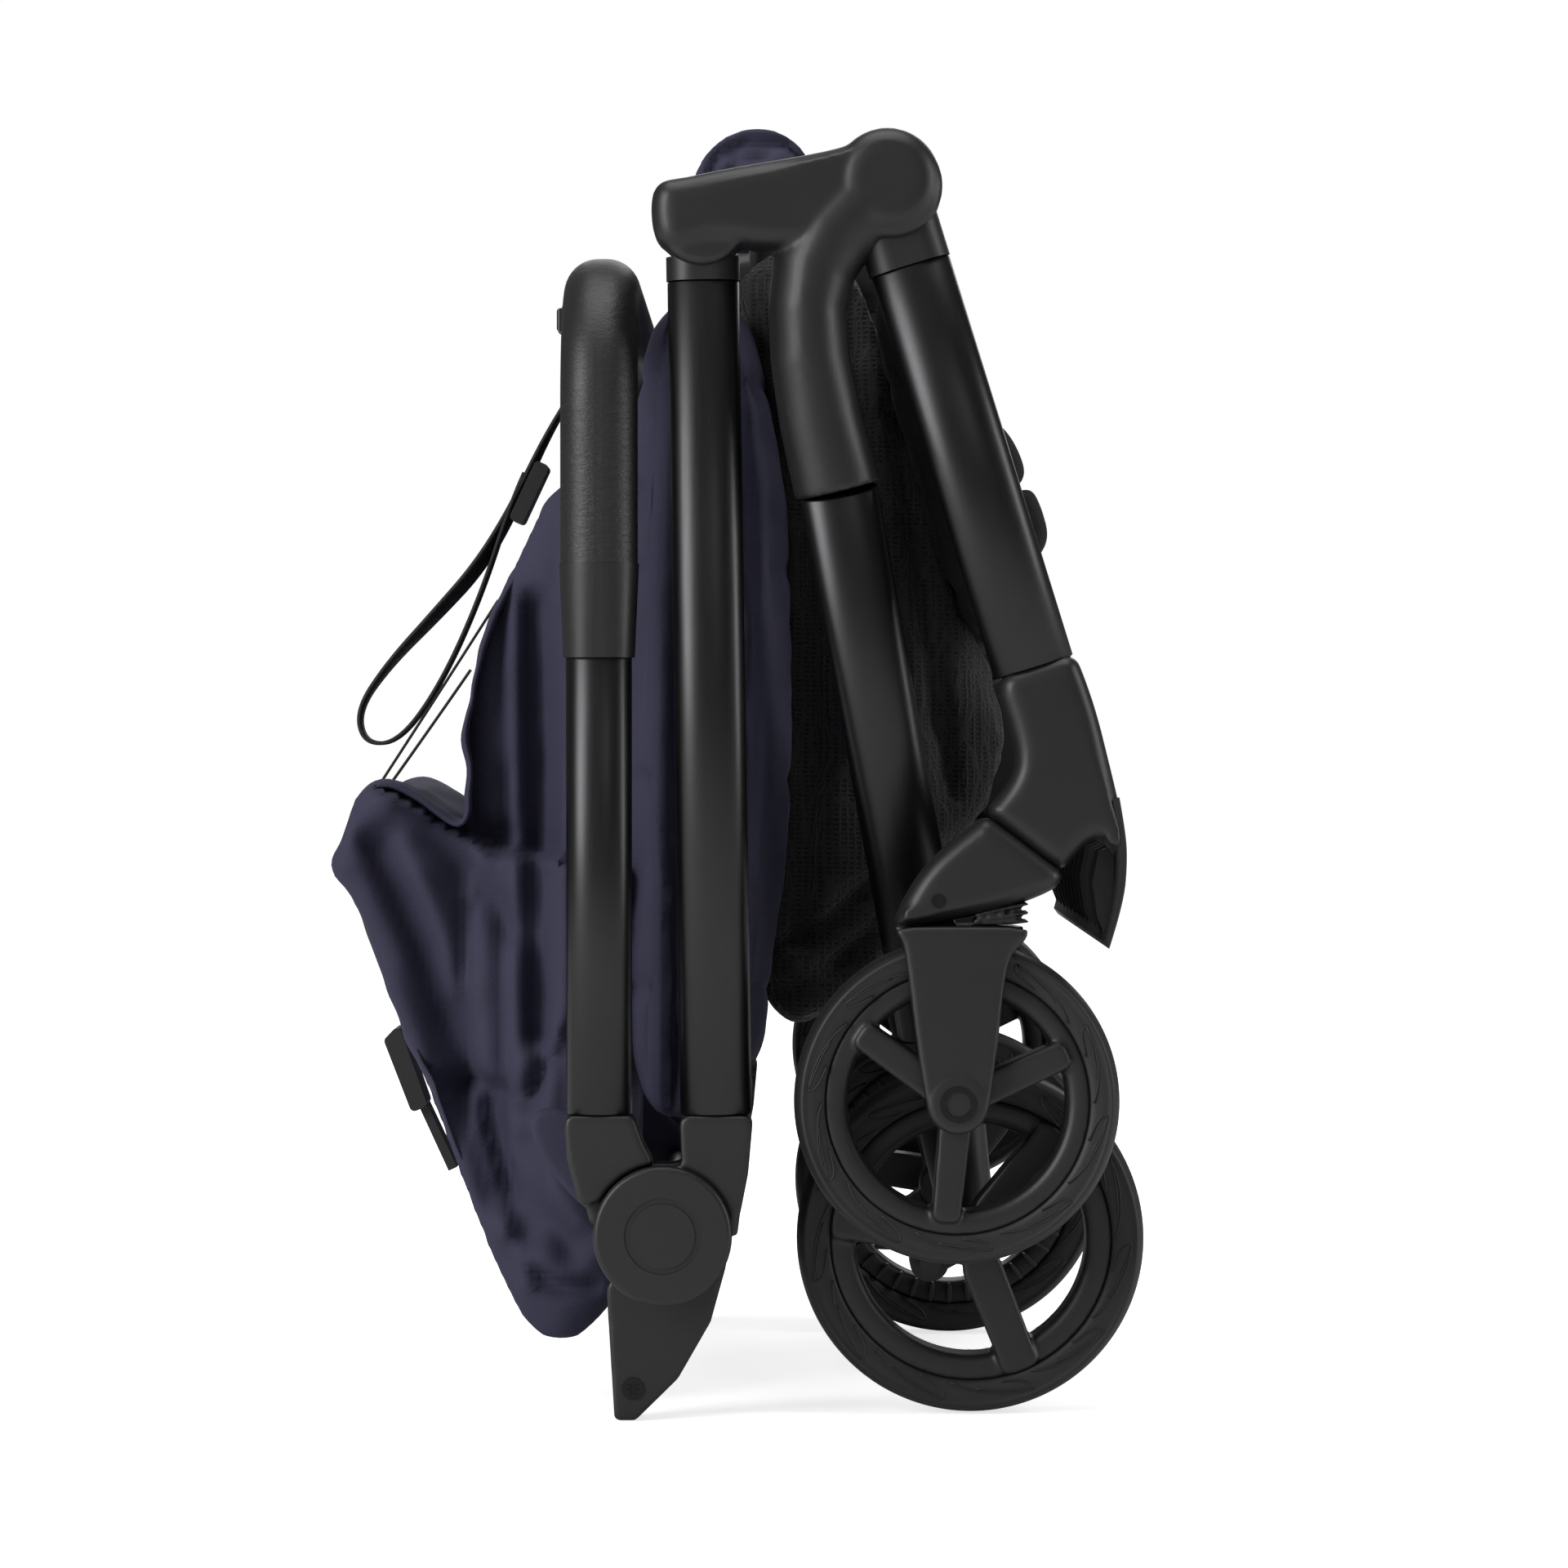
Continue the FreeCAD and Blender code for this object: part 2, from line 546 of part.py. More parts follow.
def lower_hinge_fitting(name, side):
    """Socket of the lower tube, the outer hinge cheek, and the inner plate with its fin."""
    hx, hz = size("hinge_x"), size("hinge_z")
    foot_x, foot_z = LOWER_FOOT
    half = size("lower_tube_wide") / 2
    socket = across(rounded_face([(foot_x - half - 0.4, foot_z), (foot_x + half + 0.6, foot_z),
                                  (foot_x + half - 1.5, foot_z - 24), (foot_x + half - 5, foot_z - 42),
                                  (foot_x - 6, foot_z - 44), (foot_x - half + 1, foot_z - 26)], 4.0),
                    *mid_layer(side, RAIL - size("tube_deep") / 2, RAIL + size("tube_deep") / 2))
    room = rod(hx, hz, size("cover_radius + play"), -RAIL * 2, RAIL * 2)
    socket = socket.cut(room)
    low, high = mid_layer(side, size("cheek_inner"), size("cheek_outer"))
    cheek = rod(hx, hz, size("cheek_radius"), low, high)
    web = across(side_face([(hx - 4, foot_z - 22.5), (foot_x + half - 2, foot_z - 16),
                            (foot_x + half - 6, foot_z - 50), (hx, hz)]), low, high)
    cheek = cheek.fuse(web)
    low, high = mid_layer(side, size("fin_inner"), size("fin_outer"))
    tip = size("fin_tip_x")
    plate_body = rod(hx, hz, size("cheek_radius"), low, high)
    fin = across(rounded_face([(hx - 24.3, hz - 25), (tip, 0), (tip + size("fin_tip_wide"), 0),
                               (tip + 26.8, 17.5), (tip + 40.6, 41.5), (tip + 46.8, 63.9),
                               (tip + 50.2, hz + 2), (hx - 10, hz + 5)], 1.2), low, high)
    inner_web = across(side_face([(hx + 2, foot_z - 22.5), (foot_x + half - 2, foot_z - 10),
                                  (foot_x + half - 6, foot_z - 50), (hx, hz)]), low, high)
    bridge_low, bridge_high = mid_layer(side, size("fin_outer") - 2, RAIL)
    bridge = across(side_face([(foot_x - half + 3.5, foot_z - 3), (foot_x + half - 3, foot_z - 3),
                               (foot_x + half - 5, foot_z - 24), (foot_x - half + 3.5, foot_z - 19)]),
                    bridge_low, bridge_high)
    socket_plate = across(side_face([(foot_x - half + 3.5, foot_z - 3), (foot_x + half - 3, foot_z - 3),
                                     (foot_x + half - 5, foot_z - 26), (foot_x - half + 2, foot_z - 26)]),
                          *mid_layer(side, size("fin_inner") + 4, size("fin_outer")))
    shape = cheek.fuse([socket, plate_body, fin, inner_web, bridge, socket_plate]).removeSplitter()
    low, high = mid_layer(side, size("fin_inner") - 1, size("cheek_outer") + 1)
    shape = shape.cut(rod(hx, hz, size("hinge_pin_radius"), low, high))
    return solid_feature(f"lower_hinge_fitting_{name}", shape)


def hinge_cover(name, side):
    """The round cover outside the hinge: a domed disc with one ring groove."""
    body = new_body(f"hinge_cover_{name}")
    disc(body, side, "cheek_outer", "cover_outer", "hinge_x", "hinge_z", "cover_radius")
    ring = new_sketch(body, "XZ_Plane", "cover_outer" if side < 0 else "-(cover_outer - 0.8)")
    draw_circle(ring, "hinge_x", "hinge_z", "16")
    draw_circle(ring, "hinge_x", "hinge_z", "13.5")
    cut_pocket(body, ring, "0.8")
    outer = side * size("cover_outer")
    soften(body, "2.2", lambda edge: in_side_view(outer)(edge) and edge.BoundBox.XLength > 50)
    return body


def hinge_pin(name, side):
    body = new_body(f"hinge_pin_{name}")
    disc(body, side, "fin_inner + 0.5", "cheek_outer", "hinge_x", "hinge_z", "hinge_pin_radius")
    return body


def fin_screws():
    """A countersunk screw with a star drive near the tip of each fin."""
    body = new_body("fin_screws")
    for _, side in SIDES:
        disc(body, side, "fin_outer", "fin_outer + fin_screw_head", "fin_tip_x + 7.9", "fin_screw_z",
             "fin_screw_radius")
        for turn in (0, 60, 120):
            c, s = math.cos(math.radians(turn)), math.sin(math.radians(turn))
            corners = [(f"fin_tip_x + 7.9 + {u * c - v * s:.4f}", f"fin_screw_z + {u * s + v * c:.4f}")
                       for u, v in ((-2.6, -0.45), (2.6, -0.45), (2.6, 0.45), (-2.6, 0.45))]
            notch(body, side, "fin_outer + 0.1", "fin_outer + fin_screw_head", corners)
    return body


def hinge_cross_bar():
    """The bar between both hinges that folds them together."""
    body = new_body("hinge_cross_bar")
    sketch = new_sketch(body, "XZ_Plane", "fin_inner")
    draw_circle(sketch, "hinge_x", "hinge_z", "6.5")
    add_pad(body, sketch, "2 * fin_inner", reverse=True)
    return body


# ---------------------------------------------------------------- handlebar, upper limb
def upper_hinge_fitting(name, side):
    """Socket of the upper tube and the hinge tongue between the lower fitting's plates."""
    hx, hz = size("hinge_x"), size("hinge_z")
    x, z = size("upper_x"), size("limb_foot_z")
    half = size("upper_tube_wide") / 2
    deep = size("tube_deep") / 2
    socket = across(rounded_face([(x - half - 0.8, z), (x + half + 0.6, z), (x + half + 5, z - 12),
                                  (hx - 4.6, z - 18.5), (hx - 5.5, z - 30), (x - half + 6, z - 38),
                                  (x - half + 0.5, z - 18)], 3.5),
                    *mid_layer(side, RAIL - deep, RAIL + deep))
    socket = socket.cut(rod(hx, hz, size("cover_radius + play"), -2 * RAIL, 2 * RAIL))
    low, high = mid_layer(side, size("tongue_inner"), size("tongue_outer"))
    tongue = rod(hx, hz, size("fold_tongue_radius"), low, high)
    web = across(side_face([(x - half + 1.5, z - 18), (hx - 5, z - 20), (hx, hz), (x - half + 10, z - 46)]),
                 low, high)
    shape = socket.fuse([tongue, web]).removeSplitter()
    shape = shape.cut(rod(hx, hz, size("hinge_pin_radius + pin_play"), low - 1, high + 1))
    return solid_feature(f"upper_hinge_fitting_{name}", shape)


def upper_tube(name, side):
    body = new_body(f"upper_tube_{name}")
    sketch = new_sketch(body, "XY_Plane", "limb_foot_z")
    draw_tube(sketch, "upper_tube_wide", "tube_deep", "upper_x", "rail_half" if side > 0 else "-rail_half")
    add_pad(body, sketch, "collar_z - limb_foot_z")
    return body


def grip_collar(name, side):
    """The tapered collar between the tube and the covered grip."""
    body = new_body(f"grip_collar_{name}")
    middle = "rail_half" if side > 0 else "-rail_half"
    foot = new_sketch(body, "XY_Plane", "collar_z")
    draw_oval(foot, "upper_tube_wide + 2.5", "tube_deep + 2.5", "upper_x", middle)
    top = new_sketch(body, "XY_Plane", "grip_z")
    draw_oval(top, "collar_top_wide", "grip_deep + 1", "upper_x", middle)
    loft = body.newObject("PartDesign::AdditiveLoft", "Collar")
    loft.Profile = foot
    loft.Sections = [top]
    checked(loft, True)
    return body


def handlebar_grip():
    """The covered upper part of the handlebar: one oval bar bent into a U."""
    body = new_body("handlebar_grip")
    spine = new_sketch(body, "YZ_Plane", "upper_x")
    side_y, corner, top, foot = RAIL, size("grip_corner"), size("grip_top_z"), size("grip_z")
    left_arc = Part.ArcOfCircle(Part.Circle(Vector(side_y - corner, top - corner, 0), Vector(0, 0, 1), corner),
                                0, math.pi / 2)
    right_arc = Part.ArcOfCircle(Part.Circle(Vector(corner - side_y, top - corner, 0), Vector(0, 0, 1), corner),
                                 math.pi / 2, math.pi)
    spine.addGeometry(Part.LineSegment(Vector(side_y, foot, 0), Vector(side_y, top - corner, 0)), False)
    spine.addGeometry(left_arc, False)
    spine.addGeometry(Part.LineSegment(Vector(side_y - corner, top, 0), Vector(corner - side_y, top, 0)), False)
    spine.addGeometry(right_arc, False)
    spine.addGeometry(Part.LineSegment(Vector(-side_y, top - corner, 0), Vector(-side_y, foot, 0)), False)
    for one, end, two, start in ((0, 2, 1, 1), (1, 2, 2, 1), (2, 2, 3, 1), (3, 2, 4, 1)):
        spine.addConstraint(Sketcher.Constraint("Tangent", one, end, two, start))
    hold(spine, "DistanceX", 0, 1, "rail_half")
    hold(spine, "DistanceY", 0, 1, "grip_z")
    hold(spine, "DistanceX", 4, 2, "-rail_half")
    hold(spine, "DistanceY", 4, 2, "grip_z")
    hold(spine, "DistanceY", 2, 1, "grip_top_z")
    hold(spine, "Radius", 1, 0, "grip_corner")
    hold(spine, "Radius", 3, 0, "grip_corner")
    section = new_sketch(body, "XY_Plane", "grip_z")
    draw_oval(section, "grip_wide", "grip_deep", "upper_x", "rail_half")
    doc.recompute()
    pipe = body.newObject("PartDesign::AdditivePipe", "Grip")
    pipe.Profile = section
    pipe.Spine = (spine, [f"Edge{n}" for n in range(1, 6)])
    checked(pipe, True)
    return body


def release_housing():
    """The saddle of the fold release, in the middle of the crossbar."""
    x, z = size("upper_x"), size("grip_top_z")
    bar = size("grip_wide") / 2
    saddle = across(rounded_face([(x - bar - 5, z + 9), (x - bar - 6.5, z + 3), (x - bar - 6.5, z - 15),
                                  (x - bar + 3, z - 19), (x, z - size("grip_deep") / 2 - 3), (x + 4, z - 8),
                                  (x - 4, z + 12)], 2.5), -26, 26)
    grip = doc.getObject("handlebar_grip").Shape
    saddle = saddle.cut(grip)
    travel = size("button_travel")
    well = Part.makeBox(11 + travel, 22, 13, Vector(x - bar - 12, -11, z - 7.5))
    return solid_feature("release_housing", saddle.cut(well))


def release_button():
    """The button that slides into the saddle."""
    body = new_body("release_button")
    face = size("upper_x - grip_wide / 2 - 9")
    sketch = new_sketch(body, "XZ_Plane", "10.5")
    draw_polygon(sketch, (("upper_x - grip_wide / 2 - 9.5", "grip_top_z + 4"),
                          ("upper_x - grip_wide / 2 - 5 + 1.5", "grip_top_z + 5"),
                          ("upper_x - grip_wide / 2 - 5 + 1.5", "grip_top_z - 7"),
                          ("upper_x - grip_wide / 2 - 9.5", "grip_top_z - 6")))
    add_pad(body, sketch, "21", reverse=True)
    soften(body, "1.5", lambda edge: edge.CenterOfMass.x < face)
    return body


# ---------------------------------------------------------------- front legs
def front_leg_tube(name, side):
    place = limb_frame(LEG, FRONT_FOOT, side * RAIL)
    long = limb_length(LEG, FRONT_FOOT) - size("front_tube_top")
    return oval_tube(f"front_leg_tube_{name}", place, "front_tube_wide", "front_tube_top", long)


def front_cap(name, side):
    return limb_cap(f"front_cap_{name}", LEG, FRONT_FOOT, side, "front_tube_wide", "front_tube_top",
                    "hub_lobe_radius + lobe_offset + play + 1", "11.5")


def seam_frame():
    """Middle and direction of the swivel seam, and the swivel axis, in the side view."""
    lean = math.radians(size("swivel_lean"))
    middle = Vector(size("seam_x"), 0, size("seam_z"))
    axis = Vector(-math.sin(lean), 0, -math.cos(lean))
    along = Vector(math.cos(lean), 0, -math.sin(lean))
    return middle, along, axis


def front_fitting(name, side):
    """The moulded knee under the front leg's tube: socket, knee and swivel housing."""
    x, z = FRONT_FOOT
    lean = limb_frame(LEG, FRONT_FOOT, 0).Rotation
    middle, along, axis = seam_frame()
    half = size("front_tube_wide") / 2
    seam = [middle - along * 20.6, middle + along * 21.6]
    socket = [Vector(x, 0, z) + lean.multVec(Vector(sign * (half + 0.6), 0, 0)) for sign in (-1, 1)]
    outline = [(socket[0].x, socket[0].z), (socket[1].x, socket[1].z), (151.8, 295.8), (159.4, 262.0),
               (157.0, 247.0), (150.0, 240.0), (seam[1].x, seam[1].z), (seam[0].x, seam[0].z),
               (117.0, 269.0), (119.8, 279.0)]
    deep = size("tube_deep") / 2 + 1
    body = across(rounded_face(outline, 7.0), *mid_layer(side, RAIL - deep, RAIL + deep))
    outer = [side * (RAIL - deep), side * (RAIL + deep)]
    body = rounded(body, 5.5, lambda edge: any(in_side_view(y)(edge) for y in outer))
    body = body.cut(swivel_stem(side, size("stem_radius")))
    return solid_feature(f"front_fitting_{name}", body)


def footboard():
    """The curved board between both front legs, ribbed inside."""
    half, thick = size("footboard_half"), size("footboard_thick")
    outer = [Vector(160.6, 0, 262), Vector(163.2, 0, 237), Vector(161.6, 0, 218), Vector(156.0, 0, 199.9)]
    inner = [Vector(154.0, 0, 202.6)] + [point - Vector(thick, 0, 0) for point in (outer[2], outer[1])]
    front, back = Part.BSplineCurve(), Part.BSplineCurve()
    front.interpolate(outer)
    back.interpolate(inner)
    face = Part.Face(Part.Wire([front.toShape(), Part.LineSegment(outer[-1], inner[0]).toShape(),
                                back.toShape(), Part.LineSegment(inner[-1], outer[0]).toShape()]))
    board = across(face, -half, half)
    ribs = []
    count = 13
    for n in range(count):
        y = -half + 3 + (2 * half - 6) * n / (count - 1)
        rib = side_face([(159.8, 240), (159.6, 221), (156.6, 207.5), (153.2, 214), (150.6, 228), (154.0, 236)])
        ribs.append(across(rib, y - 1, y + 1))
    rail = across(side_face([(150.6, 228), (153.2, 214), (155.0, 214.5), (152.6, 228.5)]), -half, half)
    return solid_feature("footboard", board.fuse(ribs + [rail]).removeSplitter())


# ---------------------------------------------------------------- casters
def caster_knuckle(name, side):
    """The swivelling knuckle between the swivel seam and the sprung fork."""
    middle, along, axis = seam_frame()
    gap = axis * 0.8
    seam = [middle - along * 20.4 + gap, middle + along * 21.4 + gap]
    outline = [(seam[0].x, seam[0].z), (seam[1].x, seam[1].z), (129.5, 222.2), (93.0, 212.9), (67.8, 210.2),
               (75.2, 230.6)]
    deep = size("knuckle_half")
    body = across(rounded_face(outline, 5.0), *mid_layer(side, RAIL - deep, RAIL + deep))
    faces = [side * (RAIL - deep), side * (RAIL + deep)]
    body = rounded(body, 4.0, lambda edge: any(in_side_view(y)(edge) for y in faces))
    px, pz = size("spring_x"), size("spring_z")
    slot_half = 4.6
    slot = Part.makeBox(19, 2 * slot_half, 30, Vector(px - 9.5, side * RAIL - slot_half, pz - 20.6))
    body = body.cut(slot)
    body = body.cut(rod(px, pz, 3.0, side * RAIL - 30, side * RAIL + 30))
    body = body.cut(swivel_stem(side, size("stem_radius + pin_play"), size("play")))
    return solid_feature(f"caster_knuckle_{name}", body)


def swivel_stem(side, radius, longer=0.0):
    """A stem along the swivel axis, from inside the front fitting into the knuckle."""
    middle, _, axis = seam_frame()
    return Part.makeCylinder(radius, 28.0 + longer, middle + Vector(0, side * RAIL, 0) - axis * 17, axis)


def swivel_stems():
    """The steel stems on which both knuckles swivel, pressed into the front fittings."""
    return solid_feature("swivel_stems", Part.makeCompound(
        [swivel_stem(side, size("stem_radius")) for _, side in SIDES]))


def suspension_pin(name, side):
    body = new_body(f"suspension_pin_{name}")
    disc(body, side, "rail_half - knuckle_half + 0.5", "rail_half + knuckle_half + 0.4",
         "spring_x", "spring_z", "3.0")
    return body


def suspension_bumper(name, side):
    """The rubber block in the wedge between the knuckle and the fork's crown."""
    low, high = mid_layer(side, RAIL - 9, RAIL + 9)
    block = across(rounded_face([(104, 215.2), (118.5, 218.9), (117.5, 215.2), (106, 212.3)], 1.2), low, high)
    return solid_feature(f"suspension_bumper_{name}", block)


def fork(name, side):
    """Two blades over the front wheel, a crown between them and a lug up to the pivot."""
    ax, az = size("front_axle_x"), size("front_axle_z")
    crown, thick = size("crown_z"), size("crown_thick")
    gap, blade = size("blade_gap") / 2, size("blade_thick")
    outline = [(67.6, crown + thick), (121.0, crown + thick), (120.4, crown - 2.0), (112.8, 197.4),
               (108.4, 169.1), (106.2, az + 4), (103.5, az - 9), (ax + 4, az - 14.2), (ax - 4, az - 14.2),
               (81.4, az - 8.5), (79.6, az + 4), (76.5, 169.1), (69.9, 202)]
    pieces = []
    for inner in (RAIL + gap, RAIL - gap - blade):
        low, high = mid_layer(side, inner, inner + blade)
        flat = across(rounded_face(outline, 4.0), low, high)
        outside = side * (RAIL + gap + blade) if inner > RAIL else side * (RAIL - gap - blade)
        flat = rounded(flat, 2.2, lambda edge: in_side_view(outside)(edge))
        pieces.append(flat)
    low, high = mid_layer(side, RAIL - gap - 1, RAIL + gap + 1)
    pieces.append(across(side_face([(70, crown), (119.5, crown), (119.5, crown + thick), (70, crown + thick)]),
                         low, high))
    px, pz = size("spring_x"), size("spring_z")
    lug = rod(px, pz, 6.5, side * RAIL - 4, side * RAIL + 4)
    neck = Part.makeBox(13, 8, pz - crown - 1, Vector(px - 6.5, side * RAIL - 4, crown + 1))
    shape = pieces[0].fuse(pieces[1:] + [lug, neck])
    shape = shape.cut(rod(px, pz, 3.0 + size("pin_play"), side * RAIL - 10, side * RAIL + 10))
    shape = shape.cut(rod(ax, az, size("front_axle_radius"), side * RAIL - 40, side * RAIL + 40))
    return solid_feature(f"fork_{name}", shape)


def front_axle(name, side):
    """The wheel bolt with its round caps on both blades."""
    body = new_body(f"front_axle_{name}")
    reach = "rail_half + blade_gap / 2 + blade_thick"
    back = "rail_half - blade_gap / 2 - blade_thick"
    disc(body, side, back, reach, "front_axle_x", "front_axle_z", "front_axle_radius")
    disc(body, side, reach, f"{reach} + 1.5", "front_axle_x", "front_axle_z", "7.5")
    disc(body, side, f"{back} - 1.5", back, "front_axle_x", "front_axle_z", "7.5")
    bore(body, side, f"{reach} + 0.6", f"{reach} + 1.5", "front_axle_x", "front_axle_z", "5.2")
    return body


# ---------------------------------------------------------------- wheels
def wheel_tyre(label, radius, bead, x, y, z):
    """A solid tyre with a crowned tread, two side ridges and a shallow foot on the rim."""
    body = new_body(label)
    sketch = new_sketch(body, "YZ_Plane")
    corners = [("-wheel_wide / 2 + 3", bead), ("-wheel_wide / 2 + 1", f"{bead} + 3"),
               ("-wheel_wide / 2", f"{bead} + 8"), ("-wheel_wide / 2 + 0.6", f"{radius} - 7.5"),
               ("-wheel_wide / 2 + 4", f"{radius} - 2.4"), ("-wheel_wide / 2 + 9", f"{radius} - 0.4"),
               ("0", radius)]
    mirrored = [(f"-({u})", v) for u, v in reversed(corners[:-1])]
    draw_polygon(sketch, corners + mirrored)
    turn = body.newObject("PartDesign::Revolution", "Tyre")
    turn.Profile = sketch
    turn.ReferenceAxis = (sketch, ["H_Axis"])
    turn.Angle = 360
    checked(turn, True)
    soften(body, "2.0", lambda edge: edge.BoundBox.ZLength > 2 * size(radius) - 16
           and edge.BoundBox.YLength < 0.01 and edge.BoundBox.ZLength < 2 * size(radius) - 0.1)
    for axis, text in zip("xyz", (x, y, z)):
        bind(body, f"Placement.Base.{axis}", text)
    return body


def wheel_rim(label, bead, bore_radius, spokes, first, x, y, z, brake_side=None):
    """Rim ring, hub and spokes in one moulding; a rear rim has a ribbed brake ring inside."""
    body = new_body(label)
    ring = new_sketch(body, "YZ_Plane")
    draw_polygon(ring, [("-wheel_wide / 2 + 2.5", f"{bead} - rim_lip"), ("-wheel_wide / 2 + 2.5", f"{bead} - 0.1"),
                        ("wheel_wide / 2 - 2.5", f"{bead} - 0.1"), ("wheel_wide / 2 - 2.5", f"{bead} - rim_lip")])
    turn = body.newObject("PartDesign::Revolution", "Ring")
    turn.Profile = ring
    turn.ReferenceAxis = (ring, ["H_Axis"])
    turn.Angle = 360
    checked(turn, True)
    hub = new_sketch(body, "XZ_Plane", "wheel_wide / 2 - 1")
    draw_circle(hub, "0", "0", "wheel_hub_radius")
    add_pad(body, hub, "wheel_wide - 2", reverse=True)
    spoke = new_sketch(body, "XZ_Plane", "spoke_thick / 2")
    draw_polygon(spoke, [("0", "-spoke_wide / 2 - 1"), (f"{bead} - rim_lip / 2", "-spoke_wide / 2"),
                         (f"{bead} - rim_lip / 2", "spoke_wide / 2"), ("0", "spoke_wide / 2 + 1")])
    arm = add_pad(body, spoke, "spoke_thick", reverse=True)
    pattern = body.newObject("PartDesign::PolarPattern", "Spokes")
    pattern.Originals = [arm]
    pattern.Axis = (hub, ["N_Axis"])
    pattern.Angle = 360
    pattern.Occurrences = spokes
    body.Tip = pattern
    checked(pattern, True)
    if brake_side:
        inside = "wheel_wide / 2 - 2.5"
        low = f"-({inside})" if brake_side > 0 else f"{inside} - 7"
        flange = new_sketch(body, "XZ_Plane", f"-({low})")
        draw_circle(flange, "0", "0", f"{bead} - 0.5")
        draw_circle(flange, "0", "0", f"{bead} - rim_lip - 5")
        add_pad(body, flange, "2.0" if brake_side > 0 else "7", reverse=True)
        tooth = new_sketch(body, "XZ_Plane", f"-({low})")
        draw_polygon(tooth, [(f"{bead} - rim_lip - 8", "-1.1"), (f"{bead} - rim_lip", "-1.6"),
                             (f"{bead} - rim_lip", "1.6"), (f"{bead} - rim_lip - 8", "1.1")])
        rib = add_pad(body, tooth, "7", reverse=True)
        ribs = body.newObject("PartDesign::PolarPattern", "BrakeRibs")
        ribs.Originals = [rib]
        ribs.Axis = (hub, ["N_Axis"])
        ribs.Angle = 360
        ribs.Occurrences = 24
        body.Tip = ribs
        checked(ribs, True)
    hole = new_sketch(body, "XZ_Plane", "wheel_wide")
    draw_circle(hole, "0", "0", f"{bore_radius} + pin_play")
    cut_pocket(body, hole, "2 * wheel_wide")
    place = Rotation(Vector(0, 1, 0), -first)
    body.Placement = Placement(Vector(size(x), size(y), size(z)), place)
    return body


def wheels(name, side):
    """Tyre and rim of the front and the rear wheel of one side."""
    sign = "-" if side < 0 else ""
    front = ("front_axle_x", f"{sign}rail_half", "front_axle_z")
    rear = ("axle_x", f"{sign}rear_wheel_half", "axle_z")
    return [wheel_tyre(f"front_tyre_{name}", "front_wheel_radius", "front_tyre_bead", *front),
            wheel_rim(f"front_rim_{name}", "front_tyre_bead", "front_axle_radius", 3, 24.4, *front),
            wheel_tyre(f"rear_tyre_{name}", "rear_wheel_radius", "rear_tyre_bead", *rear),
            wheel_rim(f"rear_rim_{name}", "rear_tyre_bead", "axle_radius", 3, 51.5, *rear, brake_side=side)]


def rear_axle_caps():
    """Push-on caps that hold the rear wheels on their axle."""
    body = new_body("rear_axle_caps")
    for _, side in SIDES:
        disc(body, side, "rear_wheel_half + wheel_wide / 2 - 0.5", "rear_wheel_half + wheel_wide / 2 + 4",
             "axle_x", "axle_z", "8.5")
        bore(body, side, "rear_wheel_half + wheel_wide / 2 - 0.5", "rear_wheel_half + wheel_wide / 2 + 2",
             "axle_x", "axle_z", "axle_radius")
    return body


# ---------------------------------------------------------------- soft goods
def canopy():
    """The folded hood: a long brim lobe and a tall rear lobe with a notch between them."""
    outline = [(-174.0, 233.0), (-160.7, 258.0), (-152.5, 263.5), (-134, 254), (-114.0, 240.0), (-102.5, 237.5),
               (-114.0, 262.0), (-115.0, 289.0), (-112.3, 313.5), (-100.5, 346.0), (-79.0, 390.0), (-58.0, 396.0),
               (-49.0, 380.0), (-47.5, 100.0), (-52.0, 52.0), (-62.0, 40.0), (-74.0, 30.5), (-84.0, 33.0),
               (-95.8, 48.8), (-120.0, 107.4), (-143.0, 165.3), (-162.5, 223.2)]
    half = size("canopy_half")
    return solid_feature("canopy", across(rounded_face(outline, 5.0), -half, half))


def canopy_brackets():
    """Two flat arms that hold the hood on the bar between the hinges."""
    shapes = []
    hx, hz = size("hinge_x"), size("hinge_z")
    for _, side in SIDES:
        low, high = mid_layer(side, size("canopy_half") + 0.5, size("fin_inner") - 1)
        arm = across(rounded_face([(hx + 6, hz - 12), (hx + 12, hz), (hx + 6, hz + 12), (hx - 30, hz + 46),
                                   (hx - 56, hz + 52), (hx - 58, hz + 36), (hx - 34, hz + 4)], 6.0), low, high)
        arm = arm.cut(rod(hx, hz, 6.5 + size("pin_play"), low - 1, high + 1))
        shapes.append(arm)
    return solid_feature("canopy_brackets", Part.makeCompound(shapes))


def canopy_clip():
    """The moulded clip on the brim and its webbing tongue."""
    clip = across(rounded_face([(-161.5, 150.5), (-154.6, 157.8), (-141.5, 120.5), (-148.8, 117.5)], 2.4), -16, 16)
    tongue = across(side_face([(-146.6, 121.5), (-143.0, 123.0), (-128.6, 92.4), (-132.4, 90.6)]), -10, 10)
    clip = clip.fuse(tongue)
    return solid_feature("canopy_clip", clip.cut(doc.getObject("canopy").Shape))


def canopy_elastic(name, y, start, stop):
    low, high = Vector(stop[0], y, stop[1]), Vector(start[0], y, start[1])
    cord = Part.makeCylinder(size("elastic_radius"), (high - low).Length, low, high - low)
    return solid_feature(f"canopy_elastic_{name}", cord)


def seat_back():
    """The padded back between the lower limbs of the handlebar."""
    outline = [(-44.5, 130.0), (-44.5, 330.0), (-40.0, 430.0), (-32.0, 486.0), (-8.0, 487.0), (2.0, 470.0),
               (12.5, 430.0), (19.0, 370.0), (20.7, 317.0), (19.5, 255.0), (12.0, 190.0), (5.0, 140.0),
               (-12.0, 122.0), (-32.0, 118.0)]
    half = size("seat_half")
    return solid_feature("seat_back", across(rounded_face(outline, 8.0), -half, half))


